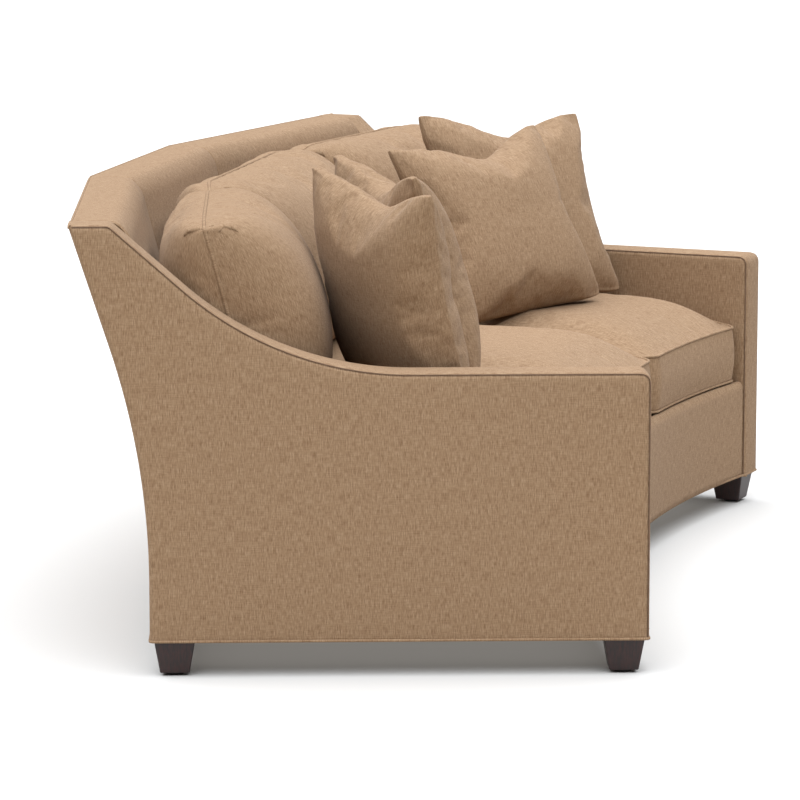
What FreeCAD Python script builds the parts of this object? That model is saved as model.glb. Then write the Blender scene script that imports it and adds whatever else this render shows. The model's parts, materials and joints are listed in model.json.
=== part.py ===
"""Curved sofa: a concave front, a back of three flat facets, scooped arms, loose cushions and throw pillows.

Millimetres. +X is to the right of a viewer who faces the seat, +Y is to the back and +Z is up.
The origin is on the floor, under the middle of the overall box.
Each wing is drawn in its own plan frame: u runs out from the mitre along the back, v runs to the back, and
u = v = 0 is the foot of the mitre on the outside back. The left side is the mirror of the right one.
"""
import FreeCAD, Part
import math
import os

from FreeCAD import Vector

# Plan of the frame
WEDGE_ANGLE = 12.8
CENTRE_HALF_WIDTH = 343.0
WING_LENGTH = 928.0
ARM_LENGTH = 1033.0
ARM_WIDTH = 99.0
FRONT_BOW = 159.1
FRONT_REVEAL = 4.0
SEAM_ANGLE = 7.0

# Heights
GLIDE_HEIGHT = 6.0
LEG_HEIGHT = 67.0
SEAT_FRAME_HEIGHT = 219.0
DECK_THICKNESS = 15.0
ARM_HEIGHT = 633.0
BACK_HEIGHT = 940.0

# Side outline of the arm and back
ARM_CORNER_RADIUS = 22.0
SCOOP_ANGLE = 41.3
SCOOP_RADIUS = 707.0
RAKE_ANGLE = 18.0
RAKE_START = 200.0
RAKE_END = 690.0
TOP_WIDTH = 84.0
SHOULDER_RUN = 40.0
SHOULDER_DROP = 35.0
SHOULDER_BULGE = 9.0
INSIDE_LEAN = 14.5

# Covers, boards and rails
COVER = 4.0
BOXING = 8.0
PANEL = 15.0
POST_DEPTH = 80.0
ARM_RAIL = 45.0
FRONT_RAIL = 25.0
BACK_RAIL = 28.0
BACK_PAD = 25.0
TOP_RAIL_HEIGHT = 50.0
TACK_RAIL_HEIGHT = 50.0
TACK_RAIL_DEPTH = 30.0
TACK_RAIL_RISE = 20.0
MITRE_POST_WIDTH = 45.0
STRETCHER_WIDTH = 25.0
STRETCHER_DROP = 22.0
DUST_COVER = 1.5

# Webbing and springs
STRAP_WIDTH = 50.0
STRAP_THICKNESS = 2.0
WING_STRAPS = 5
CENTRE_STRAPS = 4
SPRING_WIRE = 4.0
SPRING_SWING = 24.0
SPRING_PITCH = 22.0
SPRING_TAIL = 40.0
SPRING_STEP_ANGLE = 2.6
SPRINGS_PER_SIDE = 6
SPRING_DROP = 8.0
CLIP_WIDTH = 22.0
CLIP_LENGTH = 18.0

# Legs
LEG_TOP = 84.0
LEG_FOOT = 61.0
LEG_INSET_ALONG = 51.0
LEG_INSET_ACROSS = 47.0
SUPPORT_LEG_SETBACK = 420.0
GLIDE_RADIUS = 18.0
BOLT_RADIUS = 4.0
BOLT_IN_LEG = 40.0
BOLT_IN_FRAME = 60.0

# Sections across every cushion: place from end to end, and how full the cushion is there
SECTION_SHARES = (0.0, 0.07, 0.22, 0.5, 0.78, 0.93, 1.0)
SECTION_FULLNESS = (0.0, 0.45, 0.85, 1.0, 0.85, 0.45, 0.0)

# Seat cushions
SOFT_GAP = 0.5
SEAM_GAP = 2.0
SEAT_REAR_GAP = 12.0
SEAT_WELT_RISE = 149.0
SEAT_TOP_RISE = 208.0
SEAT_CROWN = 17.0
SEAT_END_CROWN = 4.0
SEAT_CROWN_PLACE = 330.0
SEAT_FLAT_START = 650.0
SEAT_FRONT_BULGE = 9.0
SEAT_FRONT_SETBACK = 12.0
SEAT_CORNER_SETBACK = 40.0

# Back cushions, measured forward from the foot of the outside back
BACK_CUSHION_HEIGHT = 420.0
BACK_CUSHION_END_DROP = 14.0
BACK_CUSHION_REAR = 75.0
BACK_CUSHION_FRONT = 357.0
BACK_CUSHION_WELT = 115.0
BACK_CUSHION_WELT_FOOT = 228.0
BACK_CUSHION_FRONT_BULGE = 128.0
BACK_CUSHION_REAR_BULGE = 36.0
BACK_CUSHION_EDGE = 16.0

# Throw pillows, placed from the inside arm and the foot of the outside back
PILLOW_WIDTH = 500.0
PILLOW_HEIGHT = 480.0
PILLOW_THICKNESS = 150.0
PILLOW_PULL = 26.0
PILLOW_PULL_FADE = 2.2
RIGHT_REAR_PILLOW_FROM_ARM = 222.0
RIGHT_REAR_PILLOW_FROM_BACK = 512.0
RIGHT_REAR_PILLOW_TURNS = {"yaw": 27.2, "lean": 24.6, "roll": -2.7}
RIGHT_FRONT_PILLOW_FROM_ARM = 486.0
RIGHT_FRONT_PILLOW_FROM_BACK = 566.0
RIGHT_FRONT_PILLOW_TURNS = {"yaw": 20.2, "lean": 29.0, "roll": 3.6}
LEFT_REAR_PILLOW_FROM_ARM = 222.0
LEFT_REAR_PILLOW_FROM_BACK = 507.0
LEFT_REAR_PILLOW_TURNS = {"yaw": 27.3, "lean": 14.0, "roll": -1.6}
LEFT_FRONT_PILLOW_FROM_ARM = 516.0
LEFT_FRONT_PILLOW_FROM_BACK = 545.0
LEFT_FRONT_PILLOW_TURNS = {"yaw": 18.6, "lean": 17.4, "roll": 1.0}
PILLOW_RINGS = ((0.0, 1.0), (0.3, 0.9), (0.6, 0.72), (0.85, 0.47), (0.97, 0.22), (1.0, 0.06))
SETTLE_STEPS = 30

# Worked out from the sizes above
BASE = GLIDE_HEIGHT + LEG_HEIGHT
RAIL_FOOT = BASE + DUST_COVER
RAIL_TOP = BASE + SEAT_FRAME_HEIGHT
DECK_TOP = RAIL_TOP + DECK_THICKNESS
SIN_WEDGE = math.sin(math.radians(WEDGE_ANGLE))
COS_WEDGE = math.cos(math.radians(WEDGE_ANGLE))
TAN_MITRE = math.tan(math.radians(WEDGE_ANGLE / 2))
TAN_RAKE = math.tan(math.radians(RAKE_ANGLE))
TAN_INSIDE = math.tan(math.radians(INSIDE_LEAN))
RAKE_RADIUS = (RAKE_END - RAKE_START) / math.sin(math.radians(RAKE_ANGLE))
INSIDE_ARM = WING_LENGTH - ARM_WIDTH
SEAT_TOP = DECK_TOP + SEAT_TOP_RISE
FRONT_LEG_V = LEG_INSET_ALONG - ARM_LENGTH
REAR_LEG_V = -LEG_INSET_ALONG
FAR = 4.0 * ARM_LENGTH
CLOSE_ENOUGH = 1e-6


def rake_at(inset, z):
    """Return v on the straight upper part of the outside back, set in by inset, at height z."""
    angle = math.radians(RAKE_ANGLE)
    v_start = RAKE_RADIUS - (RAKE_RADIUS + inset) * math.cos(angle)
    z_start = RAKE_START + (RAKE_RADIUS + inset) * math.sin(angle)
    return v_start + (z - z_start) * TAN_RAKE


OVERHANG = rake_at(0.0, BACK_HEIGHT)
SHIFT_Y = (WING_LENGTH * SIN_WEDGE + ARM_LENGTH * COS_WEDGE - OVERHANG) / 2
SHOULDER = rake_at(0.0, BACK_HEIGHT) - TOP_WIDTH


def wing_point(u, v):
    """Return the plan point of (u, v) on the right wing."""
    x = CENTRE_HALF_WIDTH + u * COS_WEDGE + v * SIN_WEDGE
    y = SHIFT_Y - u * SIN_WEDGE + v * COS_WEDGE
    return Vector(x, y, 0)


# The front arc passes a reveal behind the inside front corner of each arm
ARC_END = wing_point(INSIDE_ARM, FRONT_REVEAL - ARM_LENGTH)
FRONT_MID_Y = ARC_END.y + FRONT_BOW
FRONT_RADIUS = (ARC_END.x ** 2 + FRONT_BOW ** 2) / (2 * FRONT_BOW)
ARC_CENTRE = Vector(0, FRONT_MID_Y - FRONT_RADIUS, 0)


def wing(shape):
    """Place a shape drawn at (u, v, z) on the right wing."""
    placed = shape.copy()
    placed.rotate(Vector(0, 0, 0), Vector(0, 0, 1), -WEDGE_ANGLE)
    placed.translate(wing_point(0, 0))
    return placed


def mirrored(shape):
    """Return the left-hand twin of a right-hand shape."""
    return shape.mirror(Vector(0, 0, 0), Vector(1, 0, 0))


def closed_wire(start, runs):
    """Join runs into a closed wire; a run is an end point, or a middle and an end point for an arc."""
    edges = []
    here = start
    for run in runs:
        if isinstance(run, tuple):
            edges.append(Part.Arc(here, run[0], run[1]).toShape())
            here = run[1]
        else:
            edges.append(Part.LineSegment(here, run).toShape())
            here = run
    if not here.isEqual(start, CLOSE_ENOUGH):
        edges.append(Part.LineSegment(here, start).toShape())
    return Part.Wire(edges)


def side_prism(u_start, u_end, outline):
    """Extrude a closed (v, z) outline along u; an outline run of two points is an arc."""
    lifted = []
    for run in outline:
        if isinstance(run[0], tuple):
            lifted.append(tuple(Vector(u_start, point[0], point[1]) for point in run))
        else:
            lifted.append(Vector(u_start, run[0], run[1]))
    face = Part.Face(closed_wire(lifted[0], lifted[1:]))
    return face.extrude(Vector(u_end - u_start, 0, 0))


def plan_prism(points, z_start, z_end):
    """Extrude a closed plan polygon from z_start to z_end."""
    corners = [Vector(point.x, point.y, z_start) for point in points]
    face = Part.Face(Part.makePolygon(corners + corners[:1]))
    return face.extrude(Vector(0, 0, z_end - z_start))


def rake_runs(inset, z_top):
    """Return outline runs down the outside back, set in by inset, from z_top to the base."""
    angle = math.radians(RAKE_ANGLE)
    radius = RAKE_RADIUS + inset
    bend = []
    for share in (0.5, 0.0):
        v = RAKE_RADIUS - radius * math.cos(angle * share)
        bend.append((v, RAKE_START + radius * math.sin(angle * share)))
    bend_z = RAKE_START + radius * math.sin(angle)
    return [(rake_at(inset, z_top), z_top), (rake_at(inset, bend_z), bend_z), tuple(bend), (-inset, BASE)]


def arm_outline(inset, back_inset):
    """Return the closed side outline of an arm, set in along its front, top, scoop and shoulder."""
    front = inset - ARM_LENGTH
    top = ARM_HEIGHT - inset
    corner = max(ARM_CORNER_RADIUS - inset, 1.0)
    corner_mid = corner * (1 - math.sqrt(0.5))
    slope = math.radians(SCOOP_ANGLE)
    radius = SCOOP_RADIUS + inset
    line_v = SHOULDER + inset * math.sin(slope)
    line_z = BACK_HEIGHT - inset * math.cos(slope)
    rise = radius * (1 - math.cos(slope))
    scoop_v = (top + rise - line_z) / math.tan(slope) - radius * math.sin(slope) + line_v
    scoop = []
    for share in (0.5, 1.0):
        angle = slope * share
        scoop.append((scoop_v + radius * math.sin(angle), top + radius * (1 - math.cos(angle))))
    shoulder_z = BACK_HEIGHT - inset
    shoulder_v = line_v + (shoulder_z - line_z) / math.tan(slope)
    outline = [(front, BASE), (front, top - corner)]
    outline.append(((front + corner_mid, top - corner_mid), (front + corner, top)))
    outline += [(scoop_v, top), tuple(scoop), (shoulder_v, shoulder_z)]
    return outline + rake_runs(back_inset, shoulder_z)


def inside_at(inset, z):
    """Return v on the inside back, set in by inset, at height z."""
    shift = inset / math.cos(math.radians(INSIDE_LEAN))
    return SHOULDER - SHOULDER_RUN + shift - (BACK_HEIGHT - SHOULDER_DROP - z) * TAN_INSIDE


def back_outline(inset, back_inset):
    """Return the closed side outline of the padded back, set in along its inside and top."""
    top = BACK_HEIGHT - inset
    bend = top - SHOULDER_DROP
    shoulder_mid = (SHOULDER - SHOULDER_RUN / 2 + inset, top - SHOULDER_DROP / 2 + SHOULDER_BULGE)
    outline = [(inside_at(inset, BASE), BASE), (inside_at(inset, bend), bend)]
    outline.append((shoulder_mid, (SHOULDER + inset, top)))
    return outline + rake_runs(back_inset, top)


def between(shape, z_low, z_high):
    """Keep the part of a shape between two heights."""
    slab = Part.makeBox(2 * FAR, 2 * FAR, z_high - z_low, Vector(-FAR, -FAR, z_low))
    return shape.common(slab)


def single(shape):
    """Return the largest solid of a shape."""
    return max(shape.Solids, key=lambda solid: solid.Volume)


# Plan zones that share the two mitre planes
ZONE_REACH = 1.5 * ARM_LENGTH
ZONE_SPREAD = ZONE_REACH * TAN_MITRE
WING_ZONE = plan_prism(
    [Vector(ZONE_SPREAD, -ZONE_REACH), Vector(FAR, -ZONE_REACH), Vector(FAR, ZONE_REACH),
     Vector(-ZONE_SPREAD, ZONE_REACH)], 0, FAR)
CENTRE_ZONE = plan_prism(
    [Vector(ZONE_SPREAD - CENTRE_HALF_WIDTH, SHIFT_Y - ZONE_REACH),
     Vector(CENTRE_HALF_WIDTH - ZONE_SPREAD, SHIFT_Y - ZONE_REACH),
     Vector(CENTRE_HALF_WIDTH + ZONE_SPREAD, SHIFT_Y + ZONE_REACH),
     Vector(-CENTRE_HALF_WIDTH - ZONE_SPREAD, SHIFT_Y + ZONE_REACH)], 0, FAR)

parts = {}


def keep_pair(name, shape):
    """Store a right-wing shape and its left twin under name_right and name_left."""
    placed = wing(shape)
    parts[name + "_right"] = placed
    parts[name + "_left"] = mirrored(placed)


def keep_sections(name, make, u_end):
    """Store a back layer as three sections that meet at the mitres."""
    keep_pair(name, single(make(-ARM_WIDTH, u_end).common(WING_ZONE)))
    centre = make(-CENTRE_HALF_WIDTH - ARM_WIDTH, CENTRE_HALF_WIDTH + ARM_WIDTH)
    centre.translate(Vector(0, SHIFT_Y, 0))
    parts[name + "_centre"] = single(centre.common(CENTRE_ZONE))


def arm_slab(w_start, w_end, inset, foot):
    """Return a slab of the right arm between two distances from its outside face, down to foot."""
    slab = side_prism(WING_LENGTH - w_end, WING_LENGTH - w_start, arm_outline(inset, COVER))
    return between(slab, foot, BACK_HEIGHT)


def make_arms():
    """Build the covers, boxing, plywood panels, posts and top rail of both arms."""
    inner_face = ARM_WIDTH - COVER
    keep_pair("outside_arm_cover", single(arm_slab(0, COVER, 0, BASE)))
    keep_pair("inside_arm_cover", single(arm_slab(inner_face, ARM_WIDTH, 0, RAIL_FOOT)))
    boxing = arm_slab(COVER, inner_face, 0, BASE).cut(arm_slab(COVER, inner_face, BOXING, BASE))
    keep_pair("arm_boxing", single(boxing))
    keep_pair("arm_outer_panel", single(arm_slab(COVER, COVER + PANEL, BOXING, RAIL_FOOT)))
    keep_pair("arm_inner_panel", single(arm_slab(inner_face - PANEL, inner_face, BOXING, RAIL_FOOT)))
    core = arm_slab(COVER + PANEL, inner_face - PANEL, BOXING, RAIL_FOOT)
    below_rail = arm_slab(COVER + PANEL, inner_face - PANEL, BOXING + ARM_RAIL, RAIL_FOOT)
    rail_foot = ARM_HEIGHT - BOXING - ARM_RAIL
    front_zone = Part.makeBox(FAR, POST_DEPTH, rail_foot, Vector(0, BOXING - ARM_LENGTH, 0))
    forward = below_rail.translated(Vector(0, -POST_DEPTH, 0))
    keep_pair("arm_front_post", single(core.common(front_zone).cut(leg_bolt(FRONT_LEG_V))))
    keep_pair("arm_rear_post", single(below_rail.cut(forward).cut(leg_bolt(REAR_LEG_V))))
    keep_pair("arm_top_rail", single(between(core.cut(below_rail), rail_foot, BACK_HEIGHT)))


def make_back():
    """Build the covers, pads, rails and posts of the three back facets."""
    rail_low = BACK_HEIGHT - BACK_PAD - TOP_RAIL_HEIGHT
    core_inset = BACK_PAD + STRAP_THICKNESS
    tack_low = DECK_TOP + TACK_RAIL_RISE
    tack_high = tack_low + TACK_RAIL_HEIGHT

    def block(u_start, u_end, inset):
        front = -ARM_LENGTH / 2
        outline = [(front, BASE), (front, BACK_HEIGHT)] + rake_runs(inset, BACK_HEIGHT)
        return side_prism(u_start, u_end, outline)

    def outside(u_start, u_end):
        return block(u_start, u_end, 0).cut(block(u_start, u_end, COVER))

    def inside(u_start, u_end):
        full = side_prism(u_start, u_end, back_outline(0, COVER))
        pad = full.cut(side_prism(u_start, u_end, back_outline(BACK_PAD, COVER)))
        return between(pad, DECK_TOP, BACK_HEIGHT)

    def core(u_start, u_end):
        return between(side_prism(u_start, u_end, back_outline(core_inset, COVER)), RAIL_TOP, BACK_HEIGHT)

    def top_rail(u_start, u_end):
        return between(core(u_start, u_end), rail_low, BACK_HEIGHT)

    def tack_rail(u_start, u_end):
        behind = core(u_start, u_end).translated(Vector(0, TACK_RAIL_DEPTH, 0))
        return between(core(u_start, u_end).cut(behind), tack_low, tack_high)

    def bottom_rail(u_start, u_end):
        corner = Vector(u_start, -COVER - BACK_RAIL, RAIL_FOOT)
        return Part.makeBox(u_end - u_start, BACK_RAIL, RAIL_TOP - RAIL_FOOT, corner)

    keep_sections("outside_back_cover", outside, WING_LENGTH)
    keep_sections("inside_back_pad", inside, INSIDE_ARM)
    keep_sections("back_top_rail", top_rail, INSIDE_ARM)
    keep_sections("back_bottom_rail", bottom_rail, INSIDE_ARM)
    post = between(core(-ARM_WIDTH, MITRE_POST_WIDTH), RAIL_TOP, rail_low).common(WING_ZONE)
    keep_pair("back_mitre_post", single(post))
    keep_sections("back_tack_rail", tack_rail, INSIDE_ARM)
    for side in ("left", "right"):
        name = "back_tack_rail_" + side
        parts[name] = single(parts[name].cut(parts["back_mitre_post_" + side]))
    make_webbing(tack_low, rail_low)


def make_webbing(z_low, z_high):
    """Stretch straps behind the pads, from the tack rails up to the top rails."""
    straps = []

    def strap(u_middle):
        front = [(inside_at(BACK_PAD, z), z) for z in (z_low, z_high)]
        rear = [(inside_at(BACK_PAD + STRAP_THICKNESS, z), z) for z in (z_high, z_low)]
        return side_prism(u_middle - STRAP_WIDTH / 2, u_middle + STRAP_WIDTH / 2, front + rear)

    wing_step = INSIDE_ARM / (WING_STRAPS + 1)
    for count in range(1, WING_STRAPS + 1):
        placed = wing(strap(count * wing_step))
        straps += [placed, mirrored(placed)]
    centre_step = 2 * CENTRE_HALF_WIDTH / (CENTRE_STRAPS + 1)
    for count in range(1, CENTRE_STRAPS + 1):
        straps.append(strap(count * centre_step - CENTRE_HALF_WIDTH).translated(Vector(0, SHIFT_Y, 0)))
    parts["back_webbing"] = Part.makeCompound(straps)


def seat_plan(v_back):
    """Return the plan between the inside arms, open at the front, back to v_back."""
    right = [wing_point(INSIDE_ARM, -ARM_LENGTH), wing_point(INSIDE_ARM, v_back)]
    right.append(wing_point(-v_back * TAN_MITRE, v_back))
    return right + [Vector(-point.x, point.y, 0) for point in reversed(right)]


def seat_block(radius, v_back, z_low, z_high):
    """Return the seat space behind an arc of the given radius, back to v_back."""
    arc = Part.makeCylinder(radius, z_high - z_low, Vector(ARC_CENTRE.x, ARC_CENTRE.y, z_low))
    return single(plan_prism(seat_plan(v_back), z_low, z_high).cut(arc))


def radial(shape, angle):
    """Place a shape drawn along +Y from the centre of the front arc at an angle from the middle."""
    placed = shape.copy()
    placed.rotate(Vector(0, 0, 0), Vector(0, 0, 1), -angle)
    placed.translate(ARC_CENTRE)
    return placed


def reach(angle, v):
    """Return the distance from the centre of the front arc to the back line at v, along an angle."""
    along = Vector(math.sin(math.radians(angle)), math.cos(math.radians(angle)), 0)
    centre_reach = (SHIFT_Y + v - ARC_CENTRE.y) / along.y
    if abs(centre_reach * along.x) <= CENTRE_HALF_WIDTH + v * TAN_MITRE:
        return centre_reach
    foot = wing_point(0, v) - ARC_CENTRE
    depth = foot.x * SIN_WEDGE + foot.y * COS_WEDGE
    return depth / (abs(along.x) * SIN_WEDGE + along.y * COS_WEDGE)


def spring(length):
    """Return a flat serpentine spring of the given length along +Y, with straight tails."""
    waves = int((length - 2 * SPRING_TAIL) / SPRING_PITCH)
    tail = (length - waves * SPRING_PITCH) / 2
    line = [Vector(0, 0, 0)]
    for wave in range(waves + 1):
        before = 0 if wave == 0 else SPRING_SWING * (-1) ** wave
        after = 0 if wave == waves else -SPRING_SWING * (-1) ** wave
        line += [Vector(x, tail + wave * SPRING_PITCH, 0) for x in (before, after)]
    line.append(Vector(0, length, 0))
    runs = [(end - start).normalize() for start, end in zip(line, line[1:])]
    sides = [Vector(-run.y, run.x, 0) * (SPRING_WIRE / 2) for run in runs]
    corners = [sides[0]] + [first + second for first, second in zip(sides, sides[1:])] + [sides[-1]]
    rim = [point + corner for point, corner in zip(line, corners)]
    rim += [point - corner for point, corner in reversed(list(zip(line, corners)))]
    face = Part.Face(Part.makePolygon(rim + rim[:1]))
    return face.extrude(Vector(0, 0, SPRING_WIRE))


def make_seat_frame():
    """Build the curved front rail, stretchers, springs, clips, deck and dust cover."""
    rail_radius = FRONT_RADIUS + COVER
    inner_radius = rail_radius + FRONT_RAIL
    rail_front = -COVER - BACK_RAIL
    border = seat_block(FRONT_RADIUS, rail_front, BASE, DECK_TOP)
    parts["front_border_cover"] = single(border.cut(seat_block(rail_radius, 0, BASE, DECK_TOP)))
    front = seat_block(rail_radius, rail_front, RAIL_FOOT, RAIL_TOP)
    parts["front_rail"] = single(front.cut(seat_block(inner_radius, 0, RAIL_FOOT, RAIL_TOP)))
    stretcher_top = RAIL_TOP - STRETCHER_DROP
    inner = seat_block(inner_radius, rail_front, RAIL_FOOT, stretcher_top)
    board = Part.makeBox(STRETCHER_WIDTH, FAR, FAR, Vector(-STRETCHER_WIDTH / 2, 0, 0))
    right = single(radial(board, SEAM_ANGLE).common(inner).cut(support_bolt()))
    parts["seat_stretcher_right"] = right
    parts["seat_stretcher_left"] = mirrored(right)
    springs = []
    clips = []
    spring_z = RAIL_TOP - SPRING_DROP
    for count in range(-SPRINGS_PER_SIDE, SPRINGS_PER_SIDE + 1):
        angle = count * SPRING_STEP_ANGLE
        rear = reach(angle, rail_front)
        wire = spring(rear - inner_radius).translated(Vector(0, inner_radius, spring_z))
        springs.append(radial(wire, angle))
        for start in (inner_radius, rear - CLIP_LENGTH):
            clip = Part.makeBox(CLIP_WIDTH, CLIP_LENGTH, SPRING_DROP - SPRING_WIRE,
                                Vector(-CLIP_WIDTH / 2, start, spring_z + SPRING_WIRE))
            clips.append(radial(clip, angle))
    zone = seat_block(inner_radius, rail_front, BASE, RAIL_TOP)
    parts["seat_springs"] = Part.makeCompound([single(wire.common(zone)) for wire in springs])
    parts["spring_clips"] = Part.makeCompound([single(clip.common(zone)) for clip in clips])
    deck = seat_block(rail_radius, -COVER, RAIL_TOP, DECK_TOP)
    for side in ("left", "right"):
        deck = deck.cut(parts["back_mitre_post_" + side])
    parts["seat_deck"] = single(deck)
    parts["dust_cover"] = dust_cover(rail_radius)


def dust_cover(front_radius):
    """Return the cloth under the seat and both arms, with holes for the bolts."""
    strip_size = (ARM_WIDTH - COVER, ARM_LENGTH - BOXING - COVER, DUST_COVER)
    strip = wing(Part.makeBox(*strip_size, Vector(INSIDE_ARM, BOXING - ARM_LENGTH, BASE)))
    cloth = seat_block(front_radius, -COVER, BASE, RAIL_FOOT).fuse([strip, mirrored(strip)])
    return single(cloth.removeSplitter().cut(all_bolts()))


def leg_bolt(v):
    """Return the hanger bolt of a corner leg, in the right wing's frame."""
    foot = Vector(WING_LENGTH - LEG_INSET_ACROSS, v, BASE - BOLT_IN_LEG)
    return Part.makeCylinder(BOLT_RADIUS, BOLT_IN_LEG + BOLT_IN_FRAME, foot)


def support_bolt():
    """Return the hanger bolt of the right support leg, in its place."""
    foot = Vector(0, FRONT_RADIUS + SUPPORT_LEG_SETBACK, BASE - BOLT_IN_LEG)
    return radial(Part.makeCylinder(BOLT_RADIUS, BOLT_IN_LEG + BOLT_IN_FRAME, foot), SEAM_ANGLE)


def all_bolts():
    """Return every hanger bolt in its place."""
    right = [wing(leg_bolt(FRONT_LEG_V)), wing(leg_bolt(REAR_LEG_V)), support_bolt()]
    return right + [mirrored(bolt) for bolt in right]


def leg_block(x, y):
    """Return a tapered square leg standing on its glide, centred on (x, y)."""
    rings = []
    for side, z in ((LEG_FOOT, GLIDE_HEIGHT), (LEG_TOP, BASE)):
        half = side / 2
        corners = [Vector(x + sx * half, y + sy * half, z) for sx, sy in ((-1, -1), (1, -1), (1, 1), (-1, 1))]
        rings.append(Part.makePolygon(corners + corners[:1]))
    return Part.makeLoft(rings, True, True)


def make_legs():
    """Build the corner legs, the support legs, their hanger bolts and glides."""
    glides = []
    across = WING_LENGTH - LEG_INSET_ACROSS
    for name, v in (("front_leg", FRONT_LEG_V), ("rear_leg", REAR_LEG_V)):
        keep_pair(name, leg_block(across, v).cut(leg_bolt(v)))
        glides.append(wing(Part.makeCylinder(GLIDE_RADIUS, GLIDE_HEIGHT, Vector(across, v, 0))))
    radius = FRONT_RADIUS + SUPPORT_LEG_SETBACK
    support = radial(leg_block(0, radius), SEAM_ANGLE).cut(support_bolt())
    glides.append(radial(Part.makeCylinder(GLIDE_RADIUS, GLIDE_HEIGHT, Vector(0, radius, 0)), SEAM_ANGLE))
    parts["support_legs"] = Part.makeCompound([support, mirrored(support)])
    parts["hanger_bolts"] = Part.makeCompound(all_bolts())
    parts["leg_glides"] = Part.makeCompound(glides + [mirrored(glide) for glide in glides])


def arc_point(angle, radius):
    """Return the plan point at an angle and radius from the centre of the front arc."""
    turn = math.radians(angle)
    return ARC_CENTRE + Vector(math.sin(turn), math.cos(turn), 0) * radius


def section_lines(start_angle, end_line, v_back):
    """Return (front, rear) plan points of cushion sections, from a seam to the next seam or the arm."""
    lines = []
    start = (arc_point(start_angle, FRONT_RADIUS), arc_point(start_angle, reach(start_angle, v_back)))
    for share in SECTION_SHARES:
        if end_line is None:
            angle = start_angle * (1 - 2 * share)
            lines.append((arc_point(angle, FRONT_RADIUS), arc_point(angle, reach(angle, v_back))))
        else:
            front = start[0] + (end_line[0] - start[0]) * share
            turn = math.degrees(math.atan2(front.x - ARC_CENTRE.x, front.y - ARC_CENTRE.y))
            lines.append((arc_point(turn, FRONT_RADIUS), start[1] + (end_line[1] - start[1]) * share))
    return lines


def upright(line, forward_from_rear):
    """Return a function that lifts (distance, z) on a section's upright plane to a point."""
    front, rear = line
    if forward_from_rear:
        along = (front - rear).normalize()
        return lambda distance, z: rear + along * distance + Vector(0, 0, z)
    along = (rear - front).normalize()
    return lambda distance, z: front + along * distance + Vector(0, 0, z)


def seat_cushion(lines):
    """Loft a crowned seat cushion through its sections, with drawn-back front corners."""
    foot = DECK_TOP + SOFT_GAP
    welt = DECK_TOP + SEAT_WELT_RISE
    wires = []
    for line, full in zip(lines, SECTION_FULLNESS):
        at = upright(line, False)
        rear = (line[1] - line[0]).Length
        setback = SEAT_CORNER_SETBACK + (SEAT_FRONT_SETBACK - SEAT_CORNER_SETBACK) * min(1.0, 2.0 * full)
        crown = SEAT_TOP + SEAT_END_CROWN + (SEAT_CROWN - SEAT_END_CROWN) * full
        runs = [(at(setback - SEAT_FRONT_BULGE, (foot + welt) / 2), at(setback, welt)),
                (at(SEAT_CROWN_PLACE, crown), at(SEAT_FLAT_START, SEAT_TOP)),
                at(rear, SEAT_TOP), at(rear, foot)]
        wires.append(closed_wire(at(setback, foot), runs))
    return Part.makeLoft(wires, True, False)


def back_cushion(lines):
    """Loft a knife-edged back cushion through its sections, thin at the ends and plump in the middle."""
    foot = SEAT_TOP + SOFT_GAP
    wires = []
    for line, full in zip(lines, SECTION_FULLNESS):
        at = upright(line, True)
        rear = BACK_CUSHION_WELT_FOOT - BACK_CUSHION_EDGE
        rear += (BACK_CUSHION_REAR - rear) * full
        front = BACK_CUSHION_WELT_FOOT + BACK_CUSHION_EDGE
        front += (BACK_CUSHION_FRONT - front) * full
        top = foot + BACK_CUSHION_HEIGHT - BACK_CUSHION_END_DROP * (1 - full)
        chord = Vector(front - BACK_CUSHION_WELT, foot - top, 0)
        out = Vector(-chord.y, chord.x, 0).normalize() * (BACK_CUSHION_EDGE + BACK_CUSHION_FRONT_BULGE * full)
        swell = BACK_CUSHION_EDGE + BACK_CUSHION_REAR_BULGE * full
        middle = (foot + top) / 2
        front_mid = ((front + BACK_CUSHION_WELT) / 2 + out.x, middle + out.y)
        rear_mid = ((rear + BACK_CUSHION_WELT) / 2 - swell, middle)
        peak = at(BACK_CUSHION_WELT, top)
        runs = [at(front, foot), (at(*front_mid), peak), (at(*rear_mid), at(rear, foot))]
        wires.append(closed_wire(at(rear, foot), runs))
    return Part.makeLoft(wires, True, False)


def make_cushions():
    """Build the seat and back cushions between the radial seams and the inside arms."""
    gap_angle = math.degrees(SEAM_GAP / FRONT_RADIUS)
    edge = INSIDE_ARM - SEAM_GAP
    arm_front = wing_point(edge, FRONT_REVEAL - ARM_LENGTH)
    seat_rear = inside_at(0, DECK_TOP) - SEAT_REAR_GAP
    for name, loft, rear in (("seat_cushion", seat_cushion, seat_rear), ("back_cushion", back_cushion, 0.0)):
        arm_line = (arm_front, wing_point(edge, rear))
        side = loft(section_lines(SEAM_ANGLE + gap_angle, arm_line, rear))
        parts[name + "_right"] = side
        parts[name + "_left"] = mirrored(side)
        parts[name + "_centre"] = loft(section_lines(SEAM_ANGLE - gap_angle, None, rear))


def pillow_half(side):
    """Loft one face of a knife-edged pillow from its outline to its crown."""
    wires = []
    for level, scale in PILLOW_RINGS:
        half_width = PILLOW_WIDTH / 2 * scale
        half_height = PILLOW_HEIGHT / 2 * scale
        pull = PILLOW_PULL * (1 - PILLOW_PULL_FADE * (1 - scale)) * scale
        y = side * level * PILLOW_THICKNESS / 2
        ring = [(-1, -1), (1, -1), (1, 1), (-1, 1)]
        corners = [Vector(sx * half_width, y, sz * half_height) for sx, sz in ring]
        middles = [Vector(sx * (half_width - pull), y, sz * (half_height - pull))
                   for sx, sz in ((0, -1), (1, 0), (0, 1), (-1, 0))]
        runs = [(middles[index], corners[(index + 1) % 4]) for index in range(4)]
        wires.append(closed_wire(corners[0], runs))
    return Part.makeLoft(wires, True, False)


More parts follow.
